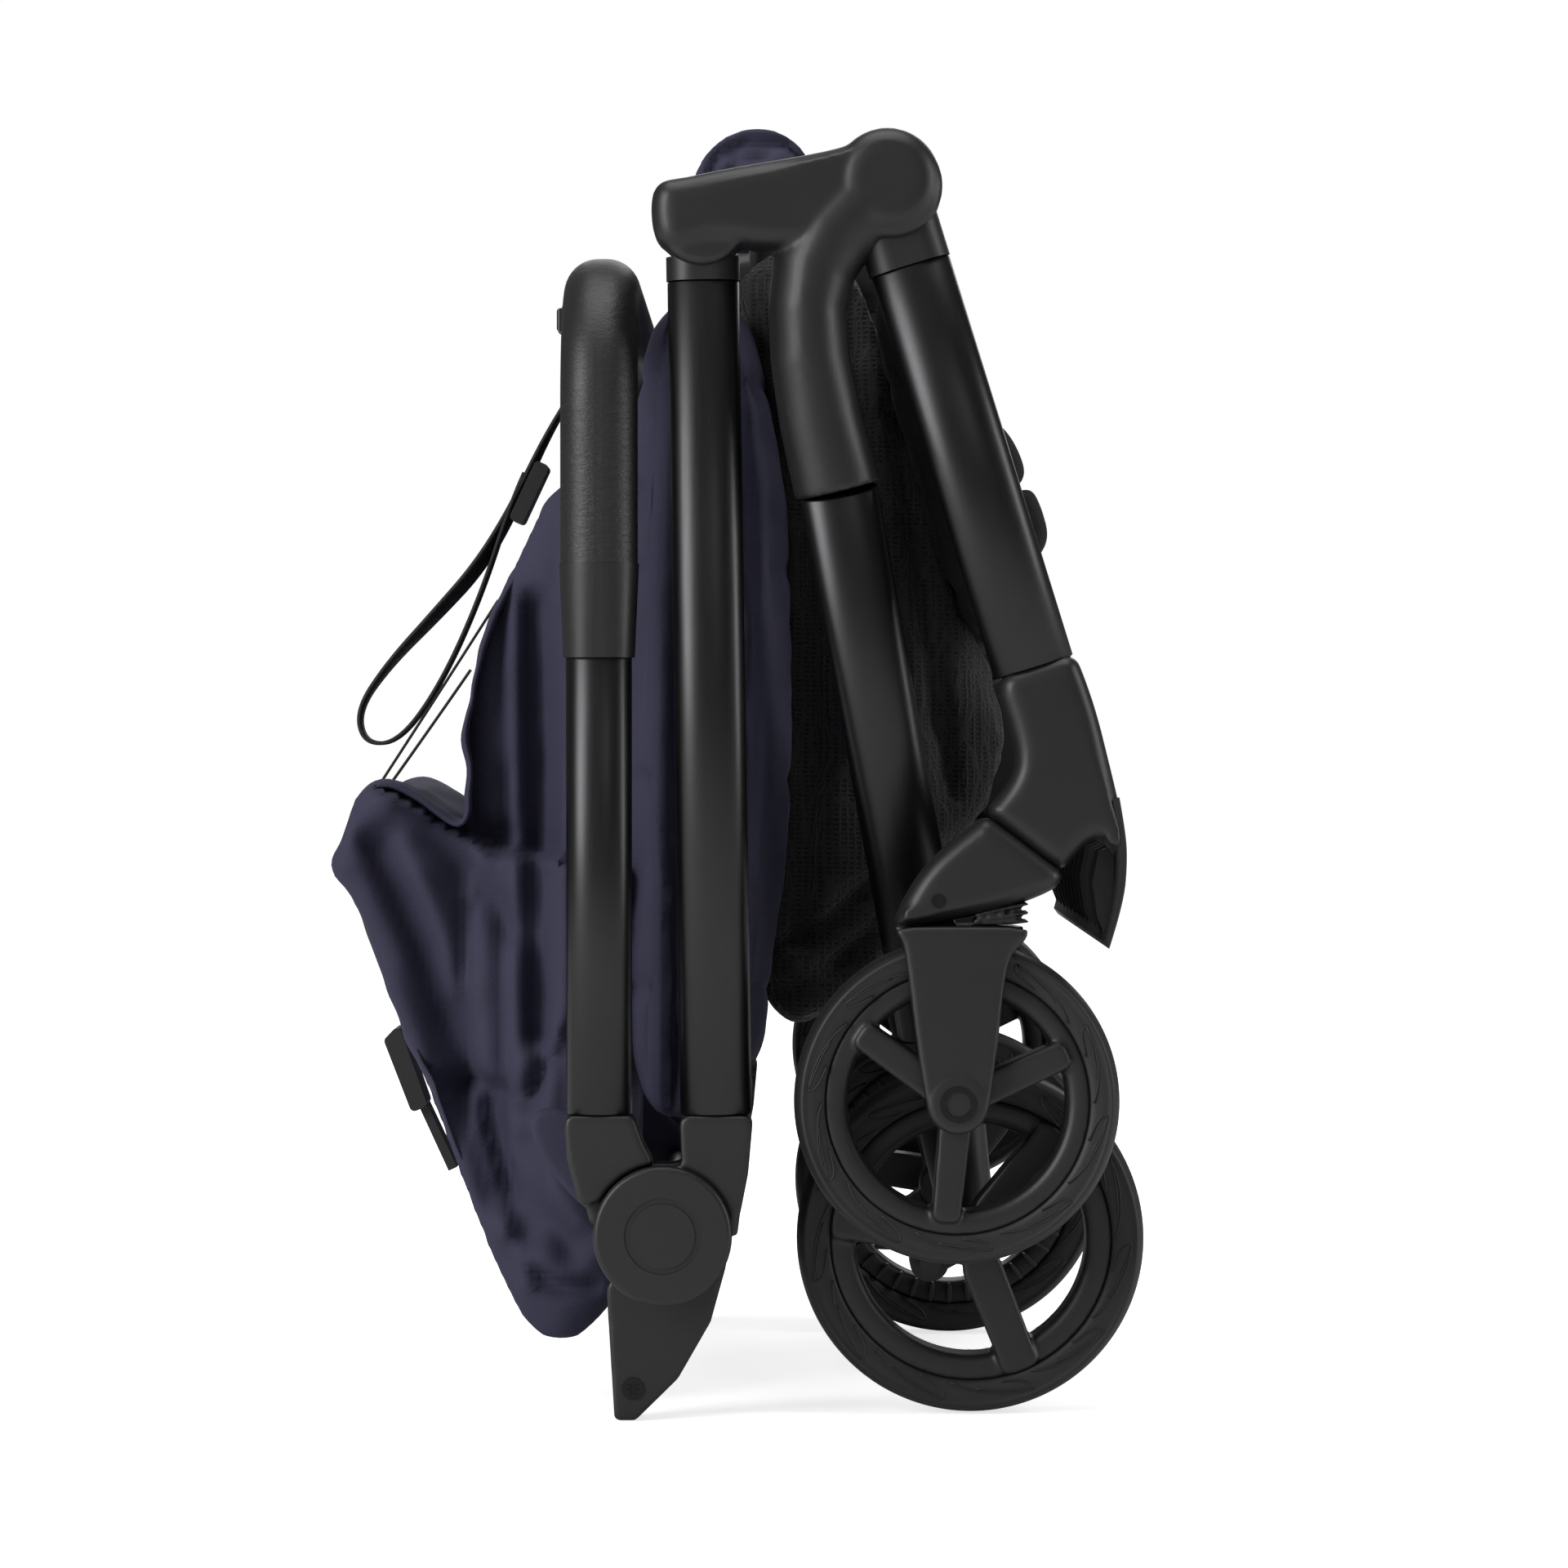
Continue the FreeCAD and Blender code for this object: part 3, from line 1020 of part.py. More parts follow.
def seat_fold():
    """The roll of seat fabric over the bar between the hubs."""
    outline = [(-20.0, 527.0), (-13.0, 545.0), (2.0, 550.6), (18.0, 549.0), (30.0, 541.0), (34.0, 524.0),
               (22.0, 519.6), (2.0, 519.6)]
    return solid_feature("seat_fold", across(rounded_face(outline, 6.0), -150, 150))


def along_front_leg(points):
    """Points of the front leg's own frame, as x and z of the stroller."""
    place = limb_frame(LEG, FRONT_FOOT, 0)
    moved = [place.multVec(Vector(x, 0, z)) for x, z in points]
    return [(point.x, point.z) for point in moved]


def seat_base():
    """The seat's base between the front legs, folded flat beside them."""
    outline = along_front_leg([(-14.0, -32.0), (12.0, -32.0), (15.0, -70.0), (15.4, -190.0), (8.0, -204.0),
                               (-16.0, -200.0), (-17.0, -120.0)])
    return solid_feature("seat_base", across(rounded_face(outline, 6.0), -size("seat_half"), size("seat_half")))


def harness_pads():
    """The folded harness pads that lie on the seat's base."""
    upper = along_front_leg([(15.9, -78.0), (27.0, -82.0), (32.0, -96.0), (31.5, -112.0), (15.9, -114.0)])
    lower = along_front_leg([(15.9, -116.0), (32.0, -112.6), (34.5, -124.0), (33.5, -142.0), (15.9, -150.0)])
    return solid_feature("harness_pads", Part.makeCompound(
        [across(rounded_face(outline, 6.0), y - 22, y + 22) for outline in (upper, lower) for y in (-34, 34)]))


def basket():
    """The shopping basket, folded flat between the rear legs."""
    outline = [(24.5, 420.0), (46.0, 420.0), (53.5, 330.0), (58.0, 240.0), (60.0, 185.0), (42.0, 163.0),
               (24.0, 166.0), (18.0, 200.0), (23.5, 300.0)]
    half = size("basket_half")
    return solid_feature("basket", across(rounded_face(outline, 8.0), -half, half))


# The carry strap's route in the middle plane, from the crossbar down, round its loop and back up.
STRAP_ROUTE = [(-68.2, 457.4), (-77.0, 443.5), (-90.0, 421.0), (-104.0, 390.0), (-119.0, 365.0),
               (-138.0, 344.0), (-160.0, 321.0), (-174.5, 300.0), (-171.0, 284.5), (-155.0, 285.5),
               (-136.0, 312.0), (-118.0, 352.0), (-104.0, 395.0), (-98.0, 408.0)]


def strap_path(points):
    """Straight runs joined by tangent arcs, each as large as its two runs allow."""
    at = [Vector(x, 0, z) for x, z in points]
    edges, last = [], at[0]
    for back, corner, ahead in zip(at, at[1:], at[2:]):
        to_back, to_ahead = back - corner, ahead - corner
        half = to_back.getAngle(to_ahead) / 2
        reach = 0.45 * min(to_back.Length, to_ahead.Length)
        start, stop = corner + to_back.normalize() * reach, corner + to_ahead.normalize() * reach
        radius = reach * math.tan(half)
        inward = ((start + stop) * 0.5 - corner).normalize()
        middle = corner + inward * (reach / math.cos(half) - radius)
        print(f"strap bend of {radius:.1f} mm at x {corner.x:.0f}, z {corner.z:.0f}")
        edges.append(Part.LineSegment(last, start).toShape())
        edges.append(Part.Arc(start, middle, stop).toShape())
        last = stop
    edges.append(Part.LineSegment(last, at[-1]).toShape())
    return Part.Wire(edges)


def carry_strap():
    """A flat webbing loop that hangs from the crossbar."""
    path = strap_path(STRAP_ROUTE)
    first = Vector(STRAP_ROUTE[0][0], 0, STRAP_ROUTE[0][1])
    second = Vector(STRAP_ROUTE[1][0], 0, STRAP_ROUTE[1][1])
    along = (second - first).normalize()
    normal = Vector(-along.z, 0, along.x)
    wide, thick = size("strap_wide") / 2, size("strap_thick") / 2
    ring = [first + Vector(0, a * wide, 0) + normal * (b * thick) for a, b in ((-1, -1), (1, -1), (1, 1), (-1, 1))]
    band = path.makePipeShell([Part.makePolygon(ring + ring[:1])], True, True)
    wanted = path.Length * 4 * wide * thick
    print(f"strap {path.Length:.0f} mm long, volume {band.Volume:.0f} of {wanted:.0f} mm3")
    return solid_feature("carry_strap", band)


def strap_buckle():
    """The moulded adjuster at the end of the carry strap."""
    top, foot = Vector(-89.4, 0, 412.0), Vector(-101.8, 0, 385.5)
    along = (foot - top).normalize()
    out = Vector(along.z, 0, -along.x)
    corners = [top - out * 3.4, top + out * 3.4, foot + out * 3.4, foot - out * 3.4]
    block = across(rounded_face([(p.x, p.z) for p in corners], 2.0), -13, 13)
    return solid_feature("strap_buckle", block.cut(doc.getObject("carry_strap").Shape))


# ---------------------------------------------------------------- the whole stroller
own_node = [hub_shell, lower_hinge_fitting, upper_hinge_fitting, front_fitting, caster_knuckle,
            suspension_pin, suspension_bumper, fork, front_axle]
in_pairs = {"rear_leg_tubes": rear_leg_tube, "rear_feet": rear_foot, "lower_tubes": lower_tube,
            "lower_caps": lower_cap, "hinge_covers": hinge_cover, "hinge_pins": hinge_pin,
            "upper_tubes": upper_tube, "grip_collars": grip_collar, "front_leg_tubes": front_leg_tube,
            "front_caps": front_cap}
pieces = [make(name, side) for name, side in SIDES for make in own_node]
pieces += [piece for name, side in SIDES for piece in wheels(name, side)]
pieces += [pair(label, [make(name, side) for name, side in SIDES]) for label, make in in_pairs.items()]
pieces += [hub_pivot_pins(), hub_cross_tube(), rear_axle(), rear_axle_caps(), brake_bar(), fin_screws(),
           hinge_cross_bar(), handlebar_grip(), release_housing(), release_button(), swivel_stems(),
           footboard(), canopy(), canopy_brackets(), canopy_clip(),
           canopy_elastic("near", -60.0, (-119.2, 317.8), (-156.5, 264.8)),
           canopy_elastic("far", 60.0, (-113.5, 351.6), (-170.5, 263.2)),
           seat_back(), seat_fold(), seat_base(), harness_pads(), basket(), carry_strap(), strap_buckle()]

doc.recompute()
for thing in doc.Objects:
    if "Invalid" in thing.State or "Error" in thing.State:
        owner = thing.getParentGeoFeatureGroup()
        raise RuntimeError(f"{owner.Label if owner else ''} {thing.Label} did not compute: {thing.State}")
for piece in pieces:
    if piece.Shape.isNull() or not piece.Shape.isValid() or piece.Shape.Volume <= 0:
        raise RuntimeError(f"{piece.Label} is not a sound solid")
os.makedirs("parts", exist_ok=True)
for piece in pieces:
    piece.Shape.exportStep(f"parts/{piece.Label}.step")
print(f"{len(pieces)} pieces written")
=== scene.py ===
# %% [markdown]
# This lesson dresses a compact baby stroller that stands folded on its rear wheels and on the fins of its
# hinges. The frame, hinges, wheels and buttons come from CAD as finished meshes, and they never move here.
# The cloth, the straps, the seams and every surface finish are made in this file, in metres, in the same
# place as the CAD parts. X points to the front, Y to the stroller's left, and Z up.

# %% Load the frame
import json
import math

import bmesh
import bpy
import numpy as np
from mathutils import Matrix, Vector


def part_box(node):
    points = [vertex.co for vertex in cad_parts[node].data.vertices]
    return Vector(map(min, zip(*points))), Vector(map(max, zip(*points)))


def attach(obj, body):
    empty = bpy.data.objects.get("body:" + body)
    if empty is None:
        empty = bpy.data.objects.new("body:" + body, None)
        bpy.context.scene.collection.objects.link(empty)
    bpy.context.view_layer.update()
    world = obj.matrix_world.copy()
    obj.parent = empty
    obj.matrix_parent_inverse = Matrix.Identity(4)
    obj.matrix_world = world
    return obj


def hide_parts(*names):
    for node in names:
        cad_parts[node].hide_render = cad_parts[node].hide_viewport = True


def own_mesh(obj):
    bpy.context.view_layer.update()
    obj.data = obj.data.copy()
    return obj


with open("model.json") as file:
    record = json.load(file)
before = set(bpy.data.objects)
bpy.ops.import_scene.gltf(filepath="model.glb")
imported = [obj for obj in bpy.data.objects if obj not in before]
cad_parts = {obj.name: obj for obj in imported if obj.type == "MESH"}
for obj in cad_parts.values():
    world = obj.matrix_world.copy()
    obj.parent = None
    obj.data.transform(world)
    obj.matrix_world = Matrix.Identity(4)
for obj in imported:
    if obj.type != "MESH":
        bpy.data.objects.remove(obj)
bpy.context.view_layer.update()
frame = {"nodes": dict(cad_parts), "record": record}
nodes = frame["nodes"]
MM = 0.001


# %% [markdown]
# Materials are node trees. Two helpers keep them short: one turns a colour from the hex value that a
# picture editor shows into the linear values that a renderer adds up, and one adds a node and links it.

# %% Helpers for materials
def linear(hex_colour):
    """An sRGB hex colour as linear red, green, blue and alpha."""
    channels = [int(hex_colour[i:i + 2], 16) / 255 for i in (1, 3, 5)]
    return [c / 12.92 if c <= 0.04045 else ((c + 0.055) / 1.055) ** 2.4 for c in channels] + [1.0]


def add(tree, kind, settings=None, **sockets):
    """Add a node, set its properties, and fill or link its sockets by name."""
    made = tree.nodes.new(kind)
    for name, value in (settings or {}).items():
        setattr(made, name, value)
    for name, value in sockets.items():
        key = int(name[1:]) if name[0] == "i" and name[1:].isdigit() else name.replace("_", " ")
        if isinstance(value, bpy.types.NodeSocket):
            tree.links.new(value, made.inputs[key])
        else:
            made.inputs[key].default_value = value
    return made


def new_material(name, colour, roughness, ior=1.5, metallic=0.0):
    """A Principled material with the colour and gloss of a real finish."""
    material = bpy.data.materials.new(name)
    material.use_nodes = True
    shader = material.node_tree.nodes["Principled BSDF"]
    shader.inputs["Base Color"].default_value = linear(colour)
    shader.inputs["Roughness"].default_value = roughness
    shader.inputs["Metallic"].default_value = metallic
    shader.inputs["IOR"].default_value = ior
    return material, material.node_tree, shader


def place(tree, stretch=(1, 1, 1), uv=False):
    """Where a point of the piece is, in metres or in its own UV map, stretched along the three axes."""
    source = add(tree, "ShaderNodeTexCoord").outputs["UV" if uv else "Object"]
    return add(tree, "ShaderNodeMapping", Vector=source, Scale=stretch).outputs["Vector"]


def bump(tree, shader, height, depth_mm, strength=1.0):
    """Let a height between 0 and 1 tilt the surface as a relief of that depth would."""
    made = add(tree, "ShaderNodeBump", Height=height, Distance=depth_mm * MM, Strength=strength)
    tree.links.new(made.outputs["Normal"], shader.inputs["Normal"])


def vary(tree, shader, socket, source, low, high):
    """Drive a colour or a number of the shader between two values by a pattern."""
    if isinstance(low, str):
        mix = add(tree, "ShaderNodeMix", {"data_type": "RGBA"}, Factor=source)
        mix.inputs[6].default_value = linear(low)
        mix.inputs[7].default_value = linear(high)
        tree.links.new(mix.outputs[2], shader.inputs[socket])
    else:
        mix = add(tree, "ShaderNodeMapRange", Value=source, To_Min=low, To_Max=high)
        tree.links.new(mix.outputs["Result"], shader.inputs[socket])


# %% [markdown]
# The tubes are black anodised aluminium: extruded oval, blasted matte, then dyed. Light slides down them in
# one long soft streak. Very fine lines along the tube are left from the die, and they widen the streak.

# %% Black anodised aluminium
anodised, tree, shader = new_material("anodised_aluminium_black", "#3d3d3e", 0.32, metallic=1.0)
lines = add(tree, "ShaderNodeTexNoise", Vector=place(tree, (1, 1, 0.02)), Scale=2200.0, Detail=3.0)
cloudy = add(tree, "ShaderNodeTexNoise", Vector=place(tree), Scale=18.0, Detail=2.0)
vary(tree, shader, "Base Color", cloudy.outputs["Fac"], "#3a3a3b", "#434344")
vary(tree, shader, "Roughness", lines.outputs["Fac"], 0.28, 0.42)
bump(tree, shader, lines.outputs["Fac"], 0.02, 0.35)


# %% [markdown]
# The hubs, hinge fittings, forks and knuckles are glass-filled nylon from an eroded mould. The eroded steel
# leaves a fine even grain, about 0.4 mm wide, which makes the highlight broad and dull.

# %% Moulded nylon, and the smoother plastic of the rims
def moulded_plastic(name, colour, paler, roughness, grain_mm, depth_mm):
    material, tree, shader = new_material(name, colour, roughness, ior=1.53)
    grain = add(tree, "ShaderNodeTexNoise", Vector=place(tree), Scale=1 / (grain_mm * MM * 2), Detail=2.0)
    patches = add(tree, "ShaderNodeTexNoise", Vector=place(tree), Scale=25.0, Detail=3.0)
    vary(tree, shader, "Base Color", patches.outputs["Fac"], colour, paler)
    vary(tree, shader, "Roughness", patches.outputs["Fac"], roughness - 0.04, roughness + 0.05)
    bump(tree, shader, grain.outputs["Fac"], depth_mm, 0.6)
    return material


nylon = moulded_plastic("glass_filled_nylon", "#161617", "#1b1b1c", 0.44, 0.4, 0.05)
rim_nylon = moulded_plastic("rim_nylon", "#131314", "#181819", 0.46, 0.5, 0.05)
button_plastic = moulded_plastic("button_abs", "#1b1b1b", "#202020", 0.38, 0.3, 0.02)
tyre_foam = moulded_plastic("tyre_eva_foam", "#131313", "#181818", 0.55, 0.7, 0.09)
soft_rubber = moulded_plastic("bumper_rubber", "#191919", "#1e1e1e", 0.6, 0.4, 0.04)


# %% [markdown]
# Pins, axles and screws are steel with a black zinc coat. The coat follows the steel's fine turning marks, so
# its roughness changes in small spots.

# %% Black zinc on steel pins and screws
black_zinc, tree, shader = new_material("steel_black_zinc", "#343435", 0.36, metallic=1.0)
dull = add(tree, "ShaderNodeTexNoise", Vector=place(tree), Scale=400.0, Detail=2.0)
vary(tree, shader, "Roughness", dull.outputs["Fac"], 0.3, 0.48)


# %% [markdown]
# The grip is wrapped in leatherette, a vinyl skin embossed with a leather grain. Its wrinkles run round the
# bar, about 1.6 mm apart, and fade where the skin is pulled tight. Two layers of stretched noise give the
# wrinkles and the fine pores between them.

# %% Leatherette
leatherette, tree, shader = new_material("leatherette_vinyl", "#1d1d1e", 0.42, ior=1.52)
wrinkle = add(tree, "ShaderNodeTexNoise", Vector=place(tree, (0.45, 0.45, 1.25)), Scale=520.0, Detail=4.0,
              Roughness=0.6, Distortion=0.7)
pore = add(tree, "ShaderNodeTexVoronoi", Vector=place(tree), Scale=1500.0)
pull = add(tree, "ShaderNodeTexNoise", Vector=place(tree), Scale=16.0, Detail=1.0)
strong = add(tree, "ShaderNodeMapRange", Value=pull.outputs["Fac"], From_Min=0.35, From_Max=0.7,
             To_Min=0.25, To_Max=1.0)
relief = add(tree, "ShaderNodeMath", {"operation": "MULTIPLY"}, i0=wrinkle.outputs["Fac"],
             i1=strong.outputs["Result"])
relief = add(tree, "ShaderNodeMath", {"operation": "MULTIPLY_ADD"}, i0=pore.outputs["Distance"], i1=0.12,
             i2=relief.outputs["Value"])
vary(tree, shader, "Roughness", wrinkle.outputs["Fac"], 0.36, 0.52)
bump(tree, shader, relief.outputs["Value"], 0.5, 0.8)


# %% [markdown]
# The hood and the seat are woven polyester: a plain weave of 0.5 mm yarns with a faint sheen, because the
# round yarns catch light at a low angle. The yarns are drawn a little coarser than life, 0.8 mm, so that
# they show. Wide clouds of tone stand for the way cloth takes dye and dust unevenly.

# %% Woven and knitted cloth
def woven_cloth(name, colour, paler, thread_mm, depth_mm, sheen, roughness=0.85, stretch=(1, 1, 1)):
    material, tree, shader = new_material(name, colour, roughness, ior=1.47)
    spot = place(tree, stretch)
    scale = math.pi / (thread_mm * MM) / 20
    bands = {"wave_type": "BANDS", "wave_profile": "SIN"}
    over = add(tree, "ShaderNodeTexWave", {**bands, "bands_direction": "Z"}, Vector=spot, Scale=scale,
               Distortion=0.6, Detail=1.0, Detail_Scale=30.0)
    along = add(tree, "ShaderNodeTexWave", {**bands, "bands_direction": "DIAGONAL"}, Vector=spot, Scale=scale,
                Distortion=0.6, Detail=1.0, Detail_Scale=30.0)
    weave = add(tree, "ShaderNodeMath", {"operation": "MULTIPLY"}, i0=over.outputs["Fac"],
                i1=along.outputs["Fac"])
    cloud = add(tree, "ShaderNodeTexNoise", Vector=place(tree), Scale=14.0, Detail=4.0, Roughness=0.6)
    vary(tree, shader, "Base Color", cloud.outputs["Fac"], colour, paler)
    shader.inputs["Sheen Weight"].default_value = sheen
    shader.inputs["Sheen Roughness"].default_value = 0.45
    shader.inputs["Sheen Tint"].default_value = linear(paler)
    bump(tree, shader, weave.outputs["Value"], depth_mm, 0.5)
    return material


navy = woven_cloth("navy_polyester", "#2c2b3f", "#35344a", 0.8, 0.12, 0.25)
black_cloth = woven_cloth("black_polyester", "#1a1a1c", "#202023", 0.9, 0.14, 0.15)
webbing = woven_cloth("black_webbing", "#18181a", "#1f1f21", 1.3, 0.25, 0.1, 0.7)
elastic_braid = woven_cloth("elastic_braid", "#161617", "#1c1c1d", 0.6, 0.1, 0.1, 0.7)


# %% [markdown]
# The camera stands where a catalogue photographer would put it: level with the middle of the folded
# stroller, 2.4 m away, with a long lens, so that the far wheels hide almost exactly behind the near ones.

# %% Camera
camera_data = bpy.data.cameras.new("camera")
camera_data.lens = 120
camera_data.sensor_width = 36
camera = bpy.data.objects.new("camera", camera_data)
camera.location = (0.020, -2.383, 0.2924)
camera.rotation_euler = (math.radians(90 - 0.626), 0, 0)
bpy.context.collection.objects.link(camera)
bpy.context.scene.camera = camera


# %% [markdown]
# A free cord is a fixed length of something limp, so its route comes before its surface. The carry strap
# hangs in a loop from the crossbar and ends in its adjuster. A NURBS curve with the route's corners as
# control points gives one smooth line, and every mesh along the strap follows points read from that curve.

# %% Routes of the cords
def new_object(name, data):
    made = bpy.data.objects.new(name, data)
    bpy.context.collection.objects.link(made)
    return made


def nurbs(name, points, resolution=12):
    """A curve object with one smooth spline; points are in metres."""
    curve = bpy.data.curves.new(name, "CURVE")
    curve.dimensions = "3D"
    spline = curve.splines.new("NURBS")
    spline.points.add(len(points) - 1)
    for point, place_ in zip(spline.points, points):
        point.co = (*place_, 1)
    spline.order_u = 3
    spline.use_endpoint_u = True
    spline.resolution_u = resolution
    return new_object(name, curve)


def line_of(curve_object):
    """The points of the smooth line itself, in order along it; the curve object is then removed."""
    depsgraph = bpy.context.evaluated_depsgraph_get()
    mesh = bpy.data.meshes.new_from_object(curve_object.evaluated_get(depsgraph))
    points = [vertex.co.copy() for vertex in mesh.vertices]
    bpy.data.meshes.remove(mesh)
    bpy.data.objects.remove(curve_object)
    return points


def length_of(points):
    return sum((b - a).length for a, b in zip(points, points[1:]))


strap_route = [(-68.2, 457.4), (-77.0, 443.5), (-90, 421), (-104, 390), (-119, 365), (-138, 344), (-160, 321),
               (-174.5, 300), (-171, 284.5), (-155, 285.5), (-136, 312), (-118, 352), (-104, 395), (-98, 408)]
strap_line = line_of(nurbs("strap_route", [(x * MM, 0, z * MM) for x, z in strap_route]))
print("strap length (m):", round(length_of(strap_line), 4), "from", len(strap_line), "points")


# %% [markdown]
# The strap is flat webbing, 16 mm wide and 1.8 mm thick. It is a tube with a flat section: one ring of eight
# corners at each point of the line. Webbing never hangs perfectly edge on, so the rings turn a little along
# the upper run and its face catches the light there.

# %% The carry strap
def ribbon(name, line, width, thick, turn, material, side=Vector((0, 1, 0)), rows=2):
    """A flat band along a line; turn gives its twist in radians at each share of the length."""
    mesh_ = bmesh.new()
    rings = []
    uv = mesh_.loops.layers.uv.new("along")
    run, spots = 0.0, []
    for k, point in enumerate(line):
        ahead = (line[min(k + 1, len(line) - 1)] - line[max(k - 1, 0)]).normalized()
        if k:
            run += (point - line[k - 1]).length
        across = side.cross(ahead).cross(ahead).normalized() * -1
        face = ahead.cross(across)
        angle = turn(k / (len(line) - 1))
        wide = across * math.cos(angle) + face * math.sin(angle)
        deep = face * math.cos(angle) - across * math.sin(angle)
        ring = []
        for u, v in ((-1, -.45), (-.94, -1), (0, -1), (.94, -1), (1, -.45), (1, .45), (.94, 1), (0, 1), (-.94, 1),
                     (-1, .45)):
            ring.append(mesh_.verts.new(point + wide * (u * width / 2) + deep * (v * thick / 2)))
        rings.append(ring)
        spots.append(run)
    count = len(rings[0])
    for k in range(len(rings) - 1):
        for j in range(count):
            i = (j + 1) % count
            quad = mesh_.faces.new((rings[k][j], rings[k][i], rings[k + 1][i], rings[k + 1][j]))
            for loop, (a, b) in zip(quad.loops, ((k, j), (k, j + 1), (k + 1, j + 1), (k + 1, j))):
                loop[uv].uv = (b / count * 2 * width, spots[a])
    mesh_.faces.new(rings[0][::-1])
    mesh_.faces.new(rings[-1])
    bmesh.ops.recalc_face_normals(mesh_, faces=mesh_.faces)
    data = bpy.data.meshes.new(name)
    mesh_.to_mesh(data)
    mesh_.free()
    for polygon in data.polygons:
        polygon.use_smooth = True
    data.materials.append(material)
    return new_object(name, data)


def strap_twist(share):
    """A slow lean of the webbing, strongest a third of the way down."""
    return math.radians(16) * math.exp(-((share - 0.30) / 0.16) ** 2)


strap = ribbon("webbing_strap", strap_line, 0.016, 0.0018, strap_twist, webbing)
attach(strap, "handlebar_upper")
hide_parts("carry_strap")


# %% [markdown]
# Two thin round elastics pull the brim of the folded hood towards the handlebar. They are taut, so each is
# almost straight; the middle point is a little off the straight line, as gravity pulls it.

# %% Canopy elastics
def elastic(name, y, start, stop):
    low = Vector((stop[0], y, stop[1])) * MM
    high = Vector((start[0], y, start[1])) * MM
    middle = (low + high) / 2 + Vector((0, 0, -0.4 * MM))
    cord_object = nurbs(name, [tuple(high), tuple(middle), tuple(low)])
    cord_object.data.bevel_depth = 0.7 * MM
    cord_object.data.bevel_resolution = 3
    cord_object.data.use_fill_caps = True
    cord_object.data.materials.append(elastic_braid)
    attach(cord_object, "canopy")
    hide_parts(name)
    return cord_object


elastic("canopy_elastic_near", -60, (-119.2, 317.8), (-156.5, 264.8)).name = "elastic_cord_near"
elastic("canopy_elastic_far", 60, (-113.5, 351.6), (-170.5, 263.2)).name = "elastic_cord_far"
print("two elastics")


# %% [markdown]
# A product photograph on white needs a floor that is almost as bright as the sky behind it, with only a
# soft shadow under the object. The floor is matt white. It glows a little for the camera, which lifts it to
# the sky's white, and it throws back only a modest light onto black parts. Large area lights make long soft
# highlights on the tubes, and none of them is bright enough to burn out the cloth.

# %% Floor, sky and lights
bpy.ops.mesh.primitive_plane_add(size=30, location=(0, 0, -0.0004))
floor = bpy.context.object
floor.name = "studio_floor"
white, tree, shader = new_material("matt_white_floor", "#f2f2f2", 0.9)
shader.inputs["Specular IOR Level"].default_value = 0.0
seen = add(tree, "ShaderNodeLightPath").outputs["Is Camera Ray"]
shader.inputs["Emission Color"].default_value = (1, 1, 1, 1)
spread = add(tree, "ShaderNodeVectorMath", {"operation": "LENGTH"}, i0=place(tree))
level = add(tree, "ShaderNodeMapRange", Value=spread.outputs["Value"], From_Min=0.25, From_Max=0.8, To_Min=0.72,
            To_Max=1.0)
glow = add(tree, "ShaderNodeMath", {"operation": "MULTIPLY"}, i0=seen, i1=level.outputs["Result"])
tree.links.new(glow.outputs["Value"], shader.inputs["Emission Strength"])
floor.data.materials.append(white)

world = bpy.data.worlds.new("pale_studio")
bpy.context.scene.world = world
world.use_nodes = True
sky = world.node_tree
backdrop = sky.nodes["Background"]
seen = add(sky, "ShaderNodeLightPath").outputs["Is Camera Ray"]
level = add(sky, "ShaderNodeMapRange", Value=seen, To_Min=0.10, To_Max=1.0)
backdrop.inputs["Color"].default_value = (1, 1, 1, 1)
sky.links.new(level.outputs["Result"], backdrop.inputs["Strength"])
bpy.context.scene.view_settings.view_transform = "Standard"


def area_light(name, location, aim, wide, tall, watts):
    light = bpy.data.lights.new(name, "AREA")
    light.shape = "RECTANGLE"
    light.size, light.size_y, light.energy = wide, tall, watts
    lamp = new_object(name, light)
    lamp.location = location
    lamp.rotation_euler = (Vector(aim) - Vector(location)).to_track_quat("-Z", "Y").to_euler()


area_light("key_left_front", (-1.6, -1.5, 1.0), (0, 0, 0.3), 1.1, 1.6, 38)
area_light("rim_right", (2.0, -0.5, 0.8), (0, 0, 0.3), 0.5, 1.5, 14)
area_light("fill_front", (0.5, -2.6, 1.3), (0, 0, 0.3), 0.7, 0.7, 2)
area_light("top_softbox", (0.0, -0.2, 2.0), (0, 0, 0.2), 1.4, 1.4, 16)
area_light("back_softbox", (0.3, 2.0, 1.2), (0, 0, 0.3), 1.6, 1.2, 12)


# %% [markdown]
# Most CAD parts keep their shape and only need a finish. The record's slots say what each one is made of.
# A CAD part's own material is swapped in its slot, and its mesh is left as it came.

# %% Finishes for the CAD parts
finishes = {
    "anodised_tube": anodised, "moulded_nylon": nylon, "rim_plastic": rim_nylon, "tyre_foam": tyre_foam,
    "button_plastic": button_plastic, "steel": black_zinc, "bumper_rubber": soft_rubber,
    "leatherette": leatherette, "navy_fabric": navy, "black_fabric": black_cloth, "black_mesh": black_cloth,
    "webbing": webbing, "elastic": elastic_braid,
}
for part in frame["record"]["subparts"]:
    for material_slot in nodes[part["node"]].material_slots:
        material_slot.material = finishes[part["material_slot"]]
print("finished", len(nodes), "CAD parts")


# %% [markdown]
# Folded cloth is closed volume on the outside, whatever it does inside. Each bundle starts as its side
# outline, stretched across the stroller, and is then remeshed into small even squares. What makes it cloth
# comes after that: rounded borders, sags between its two sides, and folds. A fold is a line in the side view
# that pushes the skin in or out, or lets one layer stand over another, so every fold can be placed by hand.

